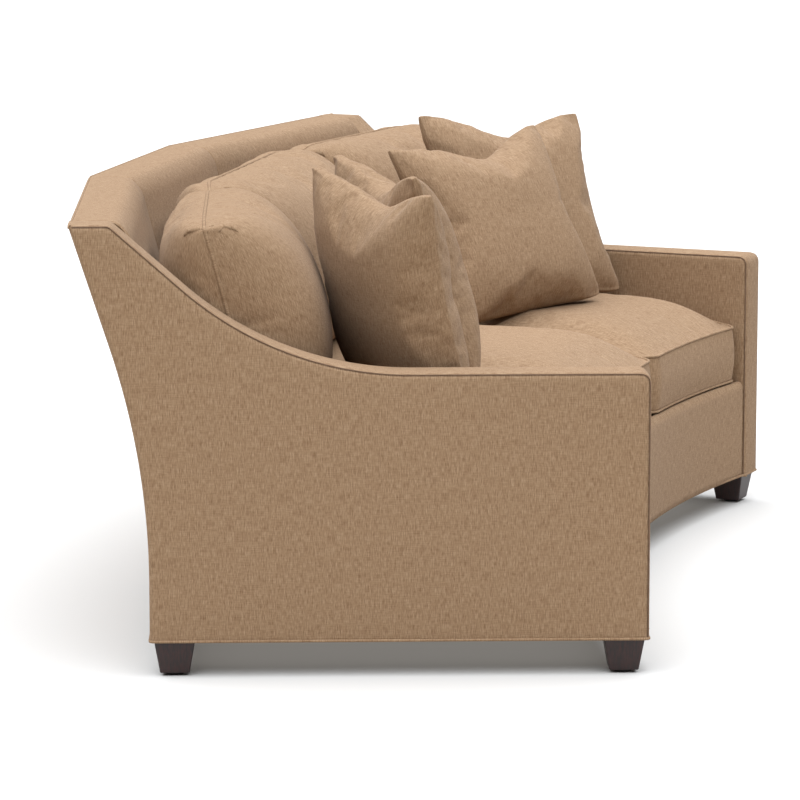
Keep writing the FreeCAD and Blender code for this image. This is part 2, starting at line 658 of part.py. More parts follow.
def settle(shape, supports):
    """Lower a shape until it rests a soft gap above its supports."""
    placed = shape.copy()
    for _ in range(SETTLE_STEPS):
        room = min(placed.distToShape(support)[0] for support in supports) - SOFT_GAP
        if room < SOFT_GAP / 10:
            break
        placed.translate(Vector(0, 0, -room))
    return placed


def pillow(from_arm, from_back, turns):
    """Return a right-hand pillow, turned, leant and held just above the seat crown."""
    shape = pillow_half(1).fuse(pillow_half(-1)).removeSplitter()
    shape = single(shape)
    shape.rotate(Vector(0, 0, 0), Vector(0, 1, 0), -turns["roll"])
    shape.rotate(Vector(0, 0, 0), Vector(1, 0, 0), -turns["lean"])
    shape.rotate(Vector(0, 0, 0), Vector(0, 0, 1), -turns["yaw"])
    high = SEAT_TOP + SEAT_CROWN + 2 * SOFT_GAP - shape.BoundBox.ZMin
    shape.translate(Vector(INSIDE_ARM - from_arm, -from_back, high))
    return wing(shape)


def pillow_pair(rear, front):
    """Return a right-hand pair of pillows at rest, the front one against the rear one."""
    seats = [parts["seat_cushion_right"], parts["seat_cushion_centre"]]
    rear_shape = settle(rear, seats)
    return rear_shape, settle(front, seats + [rear_shape])


def make_pillows():
    """Rest two throw pillows in each corner, each pair at its own place."""
    right = pillow_pair(
        pillow(RIGHT_REAR_PILLOW_FROM_ARM, RIGHT_REAR_PILLOW_FROM_BACK, RIGHT_REAR_PILLOW_TURNS),
        pillow(RIGHT_FRONT_PILLOW_FROM_ARM, RIGHT_FRONT_PILLOW_FROM_BACK, RIGHT_FRONT_PILLOW_TURNS))
    left = pillow_pair(
        pillow(LEFT_REAR_PILLOW_FROM_ARM, LEFT_REAR_PILLOW_FROM_BACK, LEFT_REAR_PILLOW_TURNS),
        pillow(LEFT_FRONT_PILLOW_FROM_ARM, LEFT_FRONT_PILLOW_FROM_BACK, LEFT_FRONT_PILLOW_TURNS))
    for name, right_shape, left_shape in zip(("rear_pillow", "front_pillow"), right, left):
        parts[name + "_right"] = right_shape
        parts[name + "_left"] = mirrored(left_shape)


def main():
    """Build every piece and write one STEP file for each."""
    make_arms()
    make_back()
    make_seat_frame()
    make_legs()
    make_cushions()
    make_pillows()
    os.makedirs("parts", exist_ok=True)
    for name, shape in parts.items():
        shape.exportStep("parts/" + name + ".step")
    print(len(parts), "parts,", sum(len(shape.Solids) for shape in parts.values()), "solids")


main()
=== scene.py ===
"""Dress the curved sofa: upholstery, welts, cushions, throw pillows, legs and a plain studio.

Lengths are metres in the part's own frame: +X to the right of a viewer who faces the seat, +Y to the
back and +Z up. A wing is one end of the sofa, turned by the wedge angle. On it u runs outwards along
the back, and v runs to the back from the foot of the outside back. The left side mirrors the right.
"""

import json
import logging
import math
from dataclasses import dataclass
from enum import Enum
from typing import Any, Iterable, Sequence

import bmesh
import bpy
import numpy as np
from mathutils import Matrix, Vector
from mathutils.bvhtree import BVHTree

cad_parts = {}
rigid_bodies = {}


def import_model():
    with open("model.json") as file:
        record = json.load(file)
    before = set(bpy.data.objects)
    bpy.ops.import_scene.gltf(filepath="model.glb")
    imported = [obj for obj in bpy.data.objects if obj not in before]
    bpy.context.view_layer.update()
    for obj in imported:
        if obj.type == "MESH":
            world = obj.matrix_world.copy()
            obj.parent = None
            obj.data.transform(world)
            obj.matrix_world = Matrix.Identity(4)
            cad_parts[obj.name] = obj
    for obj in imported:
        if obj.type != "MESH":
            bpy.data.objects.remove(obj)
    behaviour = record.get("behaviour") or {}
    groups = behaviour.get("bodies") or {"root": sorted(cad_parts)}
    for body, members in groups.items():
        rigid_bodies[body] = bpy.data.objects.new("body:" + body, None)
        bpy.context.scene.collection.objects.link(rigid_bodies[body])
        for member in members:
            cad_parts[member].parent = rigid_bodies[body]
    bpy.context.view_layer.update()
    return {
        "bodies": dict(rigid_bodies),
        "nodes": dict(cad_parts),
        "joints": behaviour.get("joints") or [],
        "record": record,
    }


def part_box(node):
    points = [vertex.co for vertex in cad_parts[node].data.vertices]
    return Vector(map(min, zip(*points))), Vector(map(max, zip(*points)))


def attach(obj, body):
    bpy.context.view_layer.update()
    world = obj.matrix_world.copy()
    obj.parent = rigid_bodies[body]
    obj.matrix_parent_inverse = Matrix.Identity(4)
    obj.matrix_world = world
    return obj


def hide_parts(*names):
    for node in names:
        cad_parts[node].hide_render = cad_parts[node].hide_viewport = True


LOG = logging.getLogger("curved_sofa")
Array = np.ndarray
Material = bpy.types.Material
Mesh = bpy.types.Mesh
Node = bpy.types.Node
Piece = bpy.types.Object
Socket = bpy.types.NodeSocket
Tree = bpy.types.NodeTree

UV_NAME = "UVMap"
# Keeps a division by a zero length finite.
TINY = 1e-12
# Distances of the fine mesh rows from a seam, on stretched covers and on each kind of cushion.
COVER_ROWS = (0.0, 0.0015, 0.003, 0.005, 0.009)
SEAT_ROWS = (0.0, 0.006, 0.014)
BACK_ROWS = (0.0, 0.004, 0.010, 0.020, 0.034)
PILLOW_ROWS = (0.0, 0.008, 0.018)
# The width that the columns of seat and back cushions are spaced for, and their spacing.
CUSHION_WIDTH = 0.75
CUSHION_STEP = 0.018


class Side(Enum):
    """The end of the sofa that a piece belongs to; the value is the sign of its X."""

    LEFT = -1
    RIGHT = 1

    @property
    def tag(self) -> str:
        """Return the end of the piece names of this side."""
        return self.name.lower()

    def mirror(self, points: Array) -> Array:
        """Return right-hand points as they lie on this side."""
        return points * np.array([self.value, 1.0, 1.0])


def lengths(line: Array) -> Array:
    """Return the running length along a line of points."""
    steps = np.linalg.norm(np.diff(line, axis=0), axis=1)
    return np.concatenate([[0.0], np.cumsum(steps)])


def along(line: Array, shares: Array) -> Array:
    """Return the points at shares of the length of a line."""
    run = lengths(line)
    return np.stack([np.interp(shares * run[-1], run, column) for column in line.T], axis=-1)


def joined(points: Array, last: Array) -> Array:
    """Return points with one more coordinate at the end."""
    return np.concatenate([points, last[..., None]], axis=-1)


def stacked(*values: Array | float) -> Array:
    """Return values, spread to one shape, as the coordinates of an array of points."""
    return np.stack(np.broadcast_arrays(*values), axis=-1)


def pulled_curve(start: Array, pull: Array, end: Array, count: int) -> Array:
    """Return points on a curve from start to end that is drawn towards a third point."""
    share = np.linspace(0.0, 1.0, count)[:, None]
    return (1 - share) ** 2 * start + 2 * share * (1 - share) * pull + share ** 2 * end


def raised(line: Array, relief: Array) -> tuple[Array, Array]:
    """Return v and z of a (v, z) line whose points are lifted towards its left side."""
    heading = np.gradient(line, axis=0)
    heading /= np.linalg.norm(heading, axis=1)[:, None]
    return line[:, :1] - heading[:, 1:] * relief, line[:, 1:] + heading[:, :1] * relief


def edge_shares(length: float, step: float, rows: Sequence[float] = COVER_ROWS) -> Array:
    """Return shares from 0 to 1 with fine rows beside both ends, for the roll into a seam.

    Args:
        length: the length that the shares divide.
        step: the coarse spacing between the fine rows.
        rows: distances of the fine rows from an end.

    Returns:
        An array of rising shares.
    """
    count = max(2, int((length - 2 * rows[-1]) / step))
    middle = np.linspace(rows[-1], length - rows[-1], count + 1)[1:-1]
    low = np.array(rows)
    return np.concatenate([low, middle, length - low[::-1]]) / length


def resampled(line: Array, step: float) -> Array:
    """Return points along a line, closer together beside its ends."""
    return along(line, edge_shares(lengths(line)[-1], step))


def nearer_end(shares: Array, length: float) -> Array:
    """Return how far places at shares of a length lie from its nearer end."""
    return np.minimum(shares, 1 - shares) * length


def soft_corners(line: Array, reach: float, sharpest: float = 0.95, count: int = 7) -> Array:
    """Return a closed line whose sharp corners are turned softly.

    Args:
        line: corner points in order.
        reach: how far from a corner its turn starts and ends.
        sharpest: cosine of the turn above which a point is left as it is.
        count: points in each turn.

    Returns:
        The points with each sharp corner replaced by a short curve.
    """
    turned = []
    for before, here, after in zip(np.roll(line, 1, axis=0), line, np.roll(line, -1, axis=0)):
        arriving = (here - before) / np.linalg.norm(here - before)
        leaving = (after - here) / np.linalg.norm(after - here)
        if arriving @ leaving > sharpest:
            turned.append(here[None])
        else:
            turned.append(pulled_curve(here - reach * arriving, here, here + reach * leaving, count))
    return np.vstack(turned)


def coons(left: Array, right: Array, bottom: Array, top: Array, rise: Array, run: Array) -> Array:
    """Return the grid of points that blends four edge lines, with rows running from bottom to top.

    Args:
        left: points of the left edge, bottom first.
        right: points of the right edge, bottom first.
        bottom: points of the bottom edge, left first.
        top: points of the top edge, left first.
        rise: shares of the rows from bottom to top.
        run: shares of the columns from left to right.

    Returns:
        Points by row and column.
    """
    rise = rise[:, None, None]
    run = run[None, :, None]
    across = (1 - run) * left[:, None] + run * right[:, None]
    upward = (1 - rise) * bottom[None] + rise * top[None]
    lower = (1 - run) * bottom[0] + run * bottom[-1]
    upper = (1 - run) * top[0] + run * top[-1]
    return across + upward - (1 - rise) * lower - rise * upper


def line_distance(points: Array, line: Array) -> Array:
    """Return the distance of each plane point from a line of points."""
    best = np.full(points.shape[:-1], np.inf)
    for start, end in zip(line[:-1], line[1:]):
        run = end - start
        share = np.clip(((points - start) @ run) / max(float(run @ run), TINY), 0.0, 1.0)
        best = np.minimum(best, np.linalg.norm(points - start - share[..., None] * run, axis=-1))
    return best


def cloth_uv(grid: Array) -> Array:
    """Return weave coordinates in metres that follow a panel's curved rows and columns."""
    weft = np.stack([lengths(row) for row in grid])
    warp = np.stack([lengths(column) for column in np.swapaxes(grid, 0, 1)], axis=1)
    weft *= np.mean(weft[:, -1]) / weft[:, -1:]
    return stacked(weft, warp)


def rim(numbers: Array) -> Array:
    """Return the vertex numbers round the rim of a grid, along its first row first."""
    return np.concatenate([numbers[0, :-1], numbers[:-1, -1], numbers[-1, :0:-1], numbers[:0:-1, 0]])


@dataclass(frozen=True)
class Plan:
    """Driving sizes of the sofa's plan and side outline, in metres and degrees."""

    wedge: float = 12.8
    centre_half: float = 0.343
    wing_length: float = 0.928
    arm_length: float = 1.033
    arm_width: float = 0.099
    front_bow: float = 0.1591
    front_reveal: float = 0.004
    seam_angle: float = 7.0
    seam_gap: float = 0.002
    base: float = 0.073
    deck_top: float = 0.307
    arm_height: float = 0.633
    back_height: float = 0.940
    arm_corner: float = 0.022
    scoop_angle: float = 41.3
    scoop_radius: float = 0.707
    rake_angle: float = 18.0
    rake_start: float = 0.200
    rake_end: float = 0.690
    top_width: float = 0.084
    shoulder_run: float = 0.040
    shoulder_drop: float = 0.035
    shoulder_bulge: float = 0.009
    inside_lean: float = 14.5
    corner_steps: int = 9
    scoop_steps: int = 40
    rake_steps: int = 25
    shoulder_steps: int = 13

    @property
    def turn(self) -> float:
        """Return the wedge angle in radians."""
        return math.radians(self.wedge)

    @property
    def inside_arm(self) -> float:
        """Return u of the inside face of an arm."""
        return self.wing_length - self.arm_width

    @property
    def mitre_slope(self) -> float:
        """Return how far a mitre moves along u for each metre of v."""
        return math.tan(math.radians(self.wedge / 2))

    @property
    def overhang(self) -> float:
        """Return v of the rear top edge of the back."""
        return float(self.rake(np.array([self.back_height]))[0])

    @property
    def shoulder(self) -> float:
        """Return v of the front edge of the flat top of the back."""
        return self.overhang - self.top_width

    @property
    def shift(self) -> float:
        """Return Y of the foot of the outside back at the middle."""
        depth = self.wing_length * math.sin(self.turn) + self.arm_length * math.cos(self.turn)
        return (depth - self.overhang) / 2

    def rake(self, z: Array) -> Array:
        """Return v of the outside back at heights z: plumb, then a bend, then a straight lean."""
        angle = math.radians(self.rake_angle)
        radius = (self.rake_end - self.rake_start) / math.sin(angle)
        rise = np.clip(z - self.rake_start, 0.0, self.rake_end - self.rake_start)
        bend = radius - np.sqrt(radius ** 2 - rise ** 2)
        return bend + np.maximum(z - self.rake_end, 0.0) * math.tan(angle)

    def inside(self, z: float) -> float:
        """Return v of the sloping inside back at height z."""
        drop = self.back_height - self.shoulder_drop - z
        return self.shoulder - self.shoulder_run - drop * math.tan(math.radians(self.inside_lean))

    def wing(self, u: Array, v: Array, z: Array) -> Array:
        """Return right-hand wing points as an array whose last axis is x, y, z."""
        x = self.centre_half + u * math.cos(self.turn) + v * math.sin(self.turn)
        y = self.shift - u * math.sin(self.turn) + v * math.cos(self.turn)
        return stacked(x, y, z).astype(float)

    @property
    def arc_end(self) -> Array:
        """Return the plan point where the front arc meets the right arm."""
        return self.wing(self.inside_arm, self.front_reveal - self.arm_length, 0.0)[:2]

    @property
    def front_radius(self) -> float:
        """Return the radius of the front arc."""
        return (self.arc_end[0] ** 2 + self.front_bow ** 2) / (2 * self.front_bow)

    @property
    def arc_centre(self) -> float:
        """Return Y of the centre of the front arc."""
        return self.arc_end[1] + self.front_bow - self.front_radius

    @property
    def arc_limit(self) -> float:
        """Return the angle of the front arc at the arm, in degrees."""
        return math.degrees(math.atan2(self.arc_end[0], self.arc_end[1] - self.arc_centre))

    def arc(self, angle: Array, radius: Array) -> Array:
        """Return plan points at angles in degrees and radii from the front arc's centre."""
        turn = np.radians(angle)
        return stacked(np.sin(turn) * radius, self.arc_centre + np.cos(turn) * radius)

    def front_line(self, angle: Array) -> Array:
        """Return the points of the front arc at angles in degrees."""
        return self.arc(angle, np.full_like(angle, self.front_radius))

    def back_line(self, angle: Array, v: float) -> Array:
        """Return where rays at angles from the front arc's centre meet the back line at v."""
        ray = np.abs(np.radians(angle))
        reach = self.shift - self.arc_centre
        centre = (self.shift + v - self.arc_centre) / np.cos(ray)
        across = self.centre_half * math.sin(self.turn) + reach * math.cos(self.turn) + v
        return self.arc(angle, np.minimum(centre, across / np.cos(ray - self.turn)))

    @property
    def corner_point(self) -> int:
        """Return the number of the point in the middle of the arm edge's front corner."""
        return 1 + self.corner_steps // 2

    def arm_edge(self, inset: float) -> Array:
        """Return the (v, z) edge of an arm from its front foot over the scoop to the rear top corner.

        Args:
            inset: how far inside the outline the edge runs.

        Returns:
            An array of points.
        """
        front = inset - self.arm_length
        top = self.arm_height - inset
        corner = self.arm_corner - inset
        slope = math.radians(self.scoop_angle)
        radius = self.scoop_radius + inset
        line_v = self.shoulder + inset * math.sin(slope)
        line_z = self.back_height - inset * math.cos(slope)
        rise = radius * (1 - math.cos(slope))
        scoop = (top + rise - line_z) / math.tan(slope) - radius * math.sin(slope) + line_v
        shoulder_z = self.back_height - inset
        shoulder_v = line_v + (shoulder_z - line_z) / math.tan(slope)
        points = [(front, self.base)]
        for turn in np.linspace(0.0, math.pi / 2, self.corner_steps):
            points.append((front + corner * (1 - math.cos(turn)), top - corner * (1 - math.sin(turn))))
        for turn in np.linspace(0.0, slope, self.scoop_steps):
            points.append((scoop + radius * math.sin(turn), top + radius * (1 - math.cos(turn))))
        points += [(shoulder_v, shoulder_z), (self.overhang - inset, shoulder_z)]
        return np.array(points)

    def back_edge(self) -> Array:
        """Return the (v, z) line of the outside back from its foot to its top."""
        bend = np.linspace(self.rake_start, self.rake_end, self.rake_steps)
        z = np.concatenate([[self.base], bend, [self.back_height]])
        return stacked(self.rake(z), z)

    def inside_edge(self) -> Array:
        """Return the (v, z) line over the top of the back, round the shoulder and down to the deck."""
        top = np.array([self.shoulder, self.back_height])
        bend = np.array([self.shoulder - self.shoulder_run, self.back_height - self.shoulder_drop])
        middle = (top + bend) / 2 + np.array([0.0, self.shoulder_bulge])
        foot = np.array([self.inside(self.deck_top), self.deck_top])
        shoulder = pulled_curve(top, 2 * middle - (top + bend) / 2, bend, self.shoulder_steps)
        return np.vstack([[self.overhang, self.back_height], shoulder, foot])


PLAN = Plan()


@dataclass(frozen=True)
class SeamRoll:
    """How a stretched cover dips into its seams and swells between them."""

    dip: float = 0.0040
    roll: float = 0.0030
    swell: float = 0.004
    reach: float = 0.11
    flush: float = 0.25

    def relief(self, distance: Array, share: float = 1.0) -> Array:
        """Return heights of the cover at distances from a seam that has a share of the full dip."""
        swell = self.swell * (1 - np.exp(-distance / self.reach))
        return swell - share * self.dip * np.exp(-(distance / self.roll) ** 2)


ROLL = SeamRoll()


class Sketch:
    """Collects grids of points into one mesh with a UV map in metres, V along the warp."""

    def __init__(self) -> None:
        """Start with no points."""
        self.points: list[Array] = []
        self.faces: list[tuple[int, ...]] = []
        self.uvs: list[tuple[Array, ...]] = []
        self.count = 0

    @classmethod
    def sheet(cls, grid: Array, uv: Array, flip: bool = False) -> "Sketch":
        """Return a sketch of one grid."""
        sketch = cls()
        sketch.add(grid, uv, flip)
        return sketch

    def add_points(self, points: Array) -> Array:
        """Add points of any grid shape and return their vertex numbers in that shape."""
        shape = points.shape[:-1]
        numbers = np.arange(int(np.prod(shape))).reshape(shape) + self.count
        self.points.append(points.reshape(-1, 3))
        self.count += numbers.size
        return numbers

    def quads(self, numbers: Array, uv: Array, flip: bool = False, closed: bool = False) -> None:
        """Join a grid of vertex numbers with quads.

        Args:
            numbers: vertex numbers, rows by columns.
            uv: weft and warp places, rows by columns by 2, with one column more where closed.
            flip: turn the faces round.
            closed: join the last column to the first.
        """
        rows, columns = numbers.shape
        for row in range(rows - 1):
            for column in range(columns if closed else columns - 1):
                after = (column + 1) % columns
                quad = (numbers[row, column], numbers[row, after],
                        numbers[row + 1, after], numbers[row + 1, column])
                corners = (uv[row, column], uv[row, column + 1], uv[row + 1, column + 1], uv[row + 1, column])
                self.faces.append(tuple(int(n) for n in (quad[::-1] if flip else quad)))
                self.uvs.append(corners[::-1] if flip else corners)

    def add(self, grid: Array, uv: Array, flip: bool = False) -> Array:
        """Add a grid of points with its quads and return the vertex numbers."""
        numbers = self.add_points(grid)
        self.quads(numbers, uv, flip)
        return numbers

    def add_pair(self, front: Array, rear: Array) -> Array:
        """Add two panels that are sewn together along their rims.

        Args:
            front: points of the front panel.
            rear: points of the rear panel, of which only the inner ones are new.

        Returns:
            The vertex numbers of the front panel.
        """
        numbers = self.add(front, cloth_uv(front))
        twin = numbers.copy()
        twin[1:-1, 1:-1] = self.add_points(rear[1:-1, 1:-1])
        self.quads(twin, cloth_uv(rear), flip=True)
        return numbers

    def all_points(self) -> Array:
        """Return every point in one array."""
        return np.vstack(self.points)

    def mesh(self, name: str, side: Side = Side.RIGHT, points: Array | None = None) -> Mesh:
        """Make the mesh, mirrored for the left side.

        Args:
            name: the mesh's name.
            side: the side that the piece is for.
            points: points to use in place of the collected ones.

        Returns:
            A new mesh with its UV map.
        """
        places = side.mirror(self.all_points() if points is None else points)
        mesh = bpy.data.meshes.new(name)
        mesh.from_pydata(places.tolist(), [], [face[::side.value] for face in self.faces])
        layer = mesh.uv_layers.new(name=UV_NAME)
        corners = [corner for face in self.uvs for corner in face[::side.value]]
        layer.data.foreach_set("uv", np.array(corners, dtype=np.float32).ravel())
        mesh.polygons.foreach_set("use_smooth", [True] * len(mesh.polygons))
        return mesh


def assign(target: Any, **values: Any) -> None:
    """Set several attributes of one thing."""
    for name, value in values.items():
        setattr(target, name, value)


def new_object(name: str, data: bpy.types.ID) -> Piece:
    """Return a new object of the scene at the origin."""
    piece = bpy.data.objects.new(name, data)
    bpy.context.scene.collection.objects.link(piece)
    return piece


def linear(hex_colour: str, alpha: float = 1.0) -> tuple[float, float, float, float]:
    """Turn an sRGB hex value such as #a08060 into linear red, green, blue and alpha."""
    values = []
    for start in (1, 3, 5):
        share = int(hex_colour[start:start + 2], 16) / 255
        values.append(share / 12.92 if share <= 0.04045 else ((share + 0.055) / 1.055) ** 2.4)
    return (values[0], values[1], values[2], alpha)


def wire(tree: Tree, node: Node, inputs: dict) -> None:
    """Fill inputs of a node by name or number: a socket is linked, and any other value is set."""
    for key, value in inputs.items():
        if isinstance(value, Socket):
            tree.links.new(value, node.inputs[key])
        else:
            node.inputs[key].default_value = value


def add_node(tree: Tree, kind: str, inputs: dict | None = None, **settings: Any) -> Node:
    """Add a node.

    Args:
        tree: the node tree.
        kind: the node's type name.
        inputs: values or sockets by input name or number.
        settings: attributes of the node.

    Returns:
        The new node.
    """
    node = tree.nodes.new(kind)
    assign(node, **settings)
    wire(tree, node, inputs or {})
    return node


def new_material(name: str) -> tuple[Material, Tree, Node]:
    """Return a new node material, its tree and its Principled shader."""
    material = bpy.data.materials.new(name)
    material.use_nodes = True
    tree = material.node_tree
    return material, tree, tree.nodes["Principled BSDF"]


def ramp(tree: Tree, factor: Socket, stops: Iterable[tuple[float, str]]) -> Socket:
    """Add a colour ramp over (place, hex colour) stops and return its colour."""
    node = add_node(tree, "ShaderNodeValToRGB", {"Fac": factor})
    for index, (place, colour) in enumerate(stops):
        element = node.color_ramp.elements[index] if index < 2 else node.color_ramp.elements.new(place)
        assign(element, position=place, color=linear(colour))
    return node.outputs["Color"]


@dataclass(frozen=True)
class LinenWeave:
    """Heathered camel upholstery cloth of a linen and viscose look, woven with slubbed yarn.

    Slubs give the eye short pale and dark streaks along the warp, crossed by fainter weft lines. The
    streaks' sizes are given along U and V.
    """

    name: str = "heathered_linen_weave"
    tones: tuple[tuple[float, str], ...] = ((0.33, "#74573e"), (0.5, "#8b6f53"), (0.68, "#9e8367"))
    slub: tuple[float, float] = (0.0018, 0.028)
    slub_detail: float = 2.0
    yarn: tuple[float, float] = (0.0012, 0.011)
    yarn_share: float = 0.5
    weft: tuple[float, float] = (0.020, 0.0021)
    weft_share: float = 0.18
    # Real yarn lies about 0.7 mm apart, which is finer than a pixel, so the weave is drawn coarser.
    thread_spacing: float = 0.0018
    thread_share: float = 0.12
    bump_height: float = 0.0011
    bump_strength: float = 0.55
    sheen: str = "#f6efe6"

    def build(self) -> Material:
        """Return the cloth's material, which reads the piece's UV map in metres."""
        material, tree, shader = new_material(self.name)
        place = add_node(tree, "ShaderNodeUVMap", uv_map=UV_NAME).outputs["UV"]

        def streaks(size: tuple[float, float], detail: float = 1.0) -> Socket:
            """Return noise stretched to streaks of a size."""
            scale = (1 / size[0], 1 / size[1], 1.0)
            spot = add_node(tree, "ShaderNodeMapping", {"Vector": place, "Scale": scale})
            inputs = {"Vector": spot.outputs[0], "Scale": 1.0, "Detail": detail}
            return add_node(tree, "ShaderNodeTexNoise", inputs, noise_dimensions="2D").outputs["Fac"]

        def mixed(first: Socket, second: Socket, share: float) -> Socket:
            """Return two values blended by a share of the second."""
            inputs = {"Factor": share, "A": first, "B": second}
            return add_node(tree, "ShaderNodeMix", inputs, data_type="FLOAT").outputs["Result"]

        warp = mixed(streaks(self.slub, self.slub_detail), streaks(self.yarn), self.yarn_share)
        tone = mixed(warp, streaks(self.weft), self.weft_share)
        turns = math.tau / self.thread_spacing
        spread = add_node(tree, "ShaderNodeVectorMath", {0: place, "Scale": turns}, operation="SCALE")
        thread = add_node(tree, "ShaderNodeVectorMath", {0: spread.outputs[0]}, operation="SINE")
        axes = add_node(tree, "ShaderNodeSeparateXYZ", {0: thread.outputs[0]}).outputs
        weave = add_node(tree, "ShaderNodeMath", {0: axes["X"], 1: axes["Y"]}, operation="MULTIPLY")
        height = mixed(tone, weave.outputs[0], self.thread_share)
        bump = add_node(tree, "ShaderNodeBump", {"Height": height, "Strength": self.bump_strength,
                                                 "Distance": self.bump_height})
        wire(tree, shader, {"Base Color": ramp(tree, tone, self.tones), "Normal": bump.outputs[0],
                            "Roughness": 0.92, "Specular IOR Level": 0.22, "Sheen Weight": 0.05,
                            "Sheen Roughness": 0.45, "Sheen Tint": linear(self.sheen)})
        return material


@dataclass(frozen=True)
class GrainedFinish:
    """A finish of hidden or hard pieces: two tones along a grain, read from Object coordinates.

    The grain's size is given along X, Y and Z.
    """

    name: str
    dark: str
    light: str
    grain: tuple[float, float, float]
    roughness: float
    metallic: float = 0.0
    coat: float = 0.0
    bump_height: float = 0.0004

    def build(self) -> Material:
        """Return the material."""
        material, tree, shader = new_material(self.name)
        place = add_node(tree, "ShaderNodeTexCoord").outputs["Object"]
        scale = tuple(1 / size for size in self.grain)
        spot = add_node(tree, "ShaderNodeMapping", {"Vector": place, "Scale": scale})
        noise = add_node(tree, "ShaderNodeTexNoise", {"Vector": spot.outputs[0], "Scale": 1.0, "Detail": 5.0,
                                                      "Distortion": 0.4}).outputs["Fac"]
        bump = add_node(tree, "ShaderNodeBump", {"Height": noise, "Strength": 0.4,
                                                 "Distance": self.bump_height})
        colour = ramp(tree, noise, ((0.32, self.dark), (0.68, self.light)))
        wire(tree, shader, {"Base Color": colour, "Normal": bump.outputs[0], "Roughness": self.roughness,
                            "Metallic": self.metallic, "Coat Weight": self.coat})
        return material


HIDDEN_FINISHES = {
    "hardwood": GrainedFinish("planed_hardwood", "#a98055", "#cfab7e", (0.010, 0.060, 0.010), 0.7),
    "plywood": GrainedFinish("sanded_plywood", "#bd9a6b", "#dcc094", (0.060, 0.060, 0.004), 0.7),
    "leg_wood": GrainedFinish("espresso_stained_wood", "#140503", "#30100a", (0.004, 0.004, 0.045), 0.5,
                              coat=0.1),
    "steel": GrainedFinish("drawn_steel_wire", "#7f8082", "#a9abae", (0.004, 0.004, 0.004), 0.38,
                           metallic=1.0),
    "glide_plastic": GrainedFinish("moulded_nylon", "#0c0c0c", "#1c1c1c", (0.002, 0.002, 0.002), 0.55),
    "deck_cloth": GrainedFinish("woven_deck_cloth", "#8d7459", "#a58a6d", (0.0022, 0.0022, 0.0022), 0.95),
    "dust_cloth": GrainedFinish("black_non_woven", "#0d0d0d", "#242424", (0.003, 0.003, 0.003), 0.98),
    # Dark cord in the arm seams' grooves: painted shade standing for the shadow in a plain sewn seam.
    "seam_thread": GrainedFinish("shaded_seam_thread", "#5d4430", "#6f5440", (0.001, 0.001, 0.001), 0.95),
    "webbing": GrainedFinish("elastic_webbing", "#2d2a27", "#5a544d", (0.002, 0.003, 0.002), 0.9),
}


class WeltTree:
    """A node tree that turns curves into sewn welt cord with a UV map, or into dark cord that paints the
    shade of a seam.
    """

    SIDES = 8

    def __init__(self, name: str, material: Material) -> None:
        """Build the tree once; its only size is the cord's radius.

        Args:
            name: the tree's name.
            material: the cloth that covers the cord, or the dark colour of painted seam shade.
        """
        tree = bpy.data.node_groups.new(name, "GeometryNodeTree")
        tree.interface.new_socket("Geometry", in_out="INPUT", socket_type="NodeSocketGeometry")
        radius = tree.interface.new_socket("Cord Radius", in_out="INPUT", socket_type="NodeSocketFloat")
        tree.interface.new_socket("Geometry", in_out="OUTPUT", socket_type="NodeSocketGeometry")
        self.tree = tree
        self.radius_id = radius.identifier
        given = add_node(tree, "NodeGroupInput").outputs
        length = add_node(tree, "GeometryNodeSplineParameter").outputs["Length"]
        kept = add_node(tree, "GeometryNodeCaptureAttribute", {"Geometry": given["Geometry"]})
        kept.capture_items.new("FLOAT", "Run")
        wire(tree, kept, {1: length})
        ring = add_node(tree, "GeometryNodeCurvePrimitiveCircle",
                        {"Resolution": self.SIDES, "Radius": given["Cord Radius"]}).outputs["Curve"]
        tube = add_node(tree, "GeometryNodeCurveToMesh",
                        {"Curve": kept.outputs["Geometry"], "Profile Curve": ring, "Fill Caps": True})
        spot = add_node(tree, "ShaderNodeCombineXYZ", {"X": kept.outputs[1], "Y": given["Cord Radius"]})
        piece = add_node(tree, "GeometryNodeStoreNamedAttribute",
                         {"Geometry": tube.outputs[0], "Name": UV_NAME, "Value": spot.outputs[0]},
                         data_type="FLOAT2", domain="CORNER")
        for kind, inputs in (("GeometryNodeSetShadeSmooth", {}), ("GeometryNodeRealizeInstances", {}),
                             ("GeometryNodeSetMaterial", {"Material": material}), ("NodeGroupOutput", {})):
            piece = add_node(tree, kind, {"Geometry": piece.outputs[0], **inputs})

    def cord(self, name: str, lines: Sequence[Array], radius: float, closed: bool = True) -> Piece:
        """Return a plain mesh object of welt cord along lines of points.

        Args:
            name: the piece's name.
            lines: one array of points for each run of cord.
            radius: the cord's radius.
            closed: whether each run joins up with its start.

        Returns:
            The new object.
        """
        curve = bpy.data.curves.new(name + "_line", "CURVE")
        curve.dimensions = "3D"
        for line in lines:
            spline = curve.splines.new("POLY")
            spline.points.add(len(line) - 1)
            spline.points.foreach_set("co", joined(line, np.ones(len(line))).astype(np.float32).ravel())
            spline.use_cyclic_u = closed
        path = new_object(name + "_line", curve)
        modifier = path.modifiers.new("welt", "NODES")
        modifier.node_group = self.tree
        modifier[self.radius_id] = radius
        graph = bpy.context.evaluated_depsgraph_get()
        mesh = bpy.data.meshes.new_from_object(path.evaluated_get(graph), depsgraph=graph)
        bpy.data.objects.remove(path)
        return new_object(name, mesh)


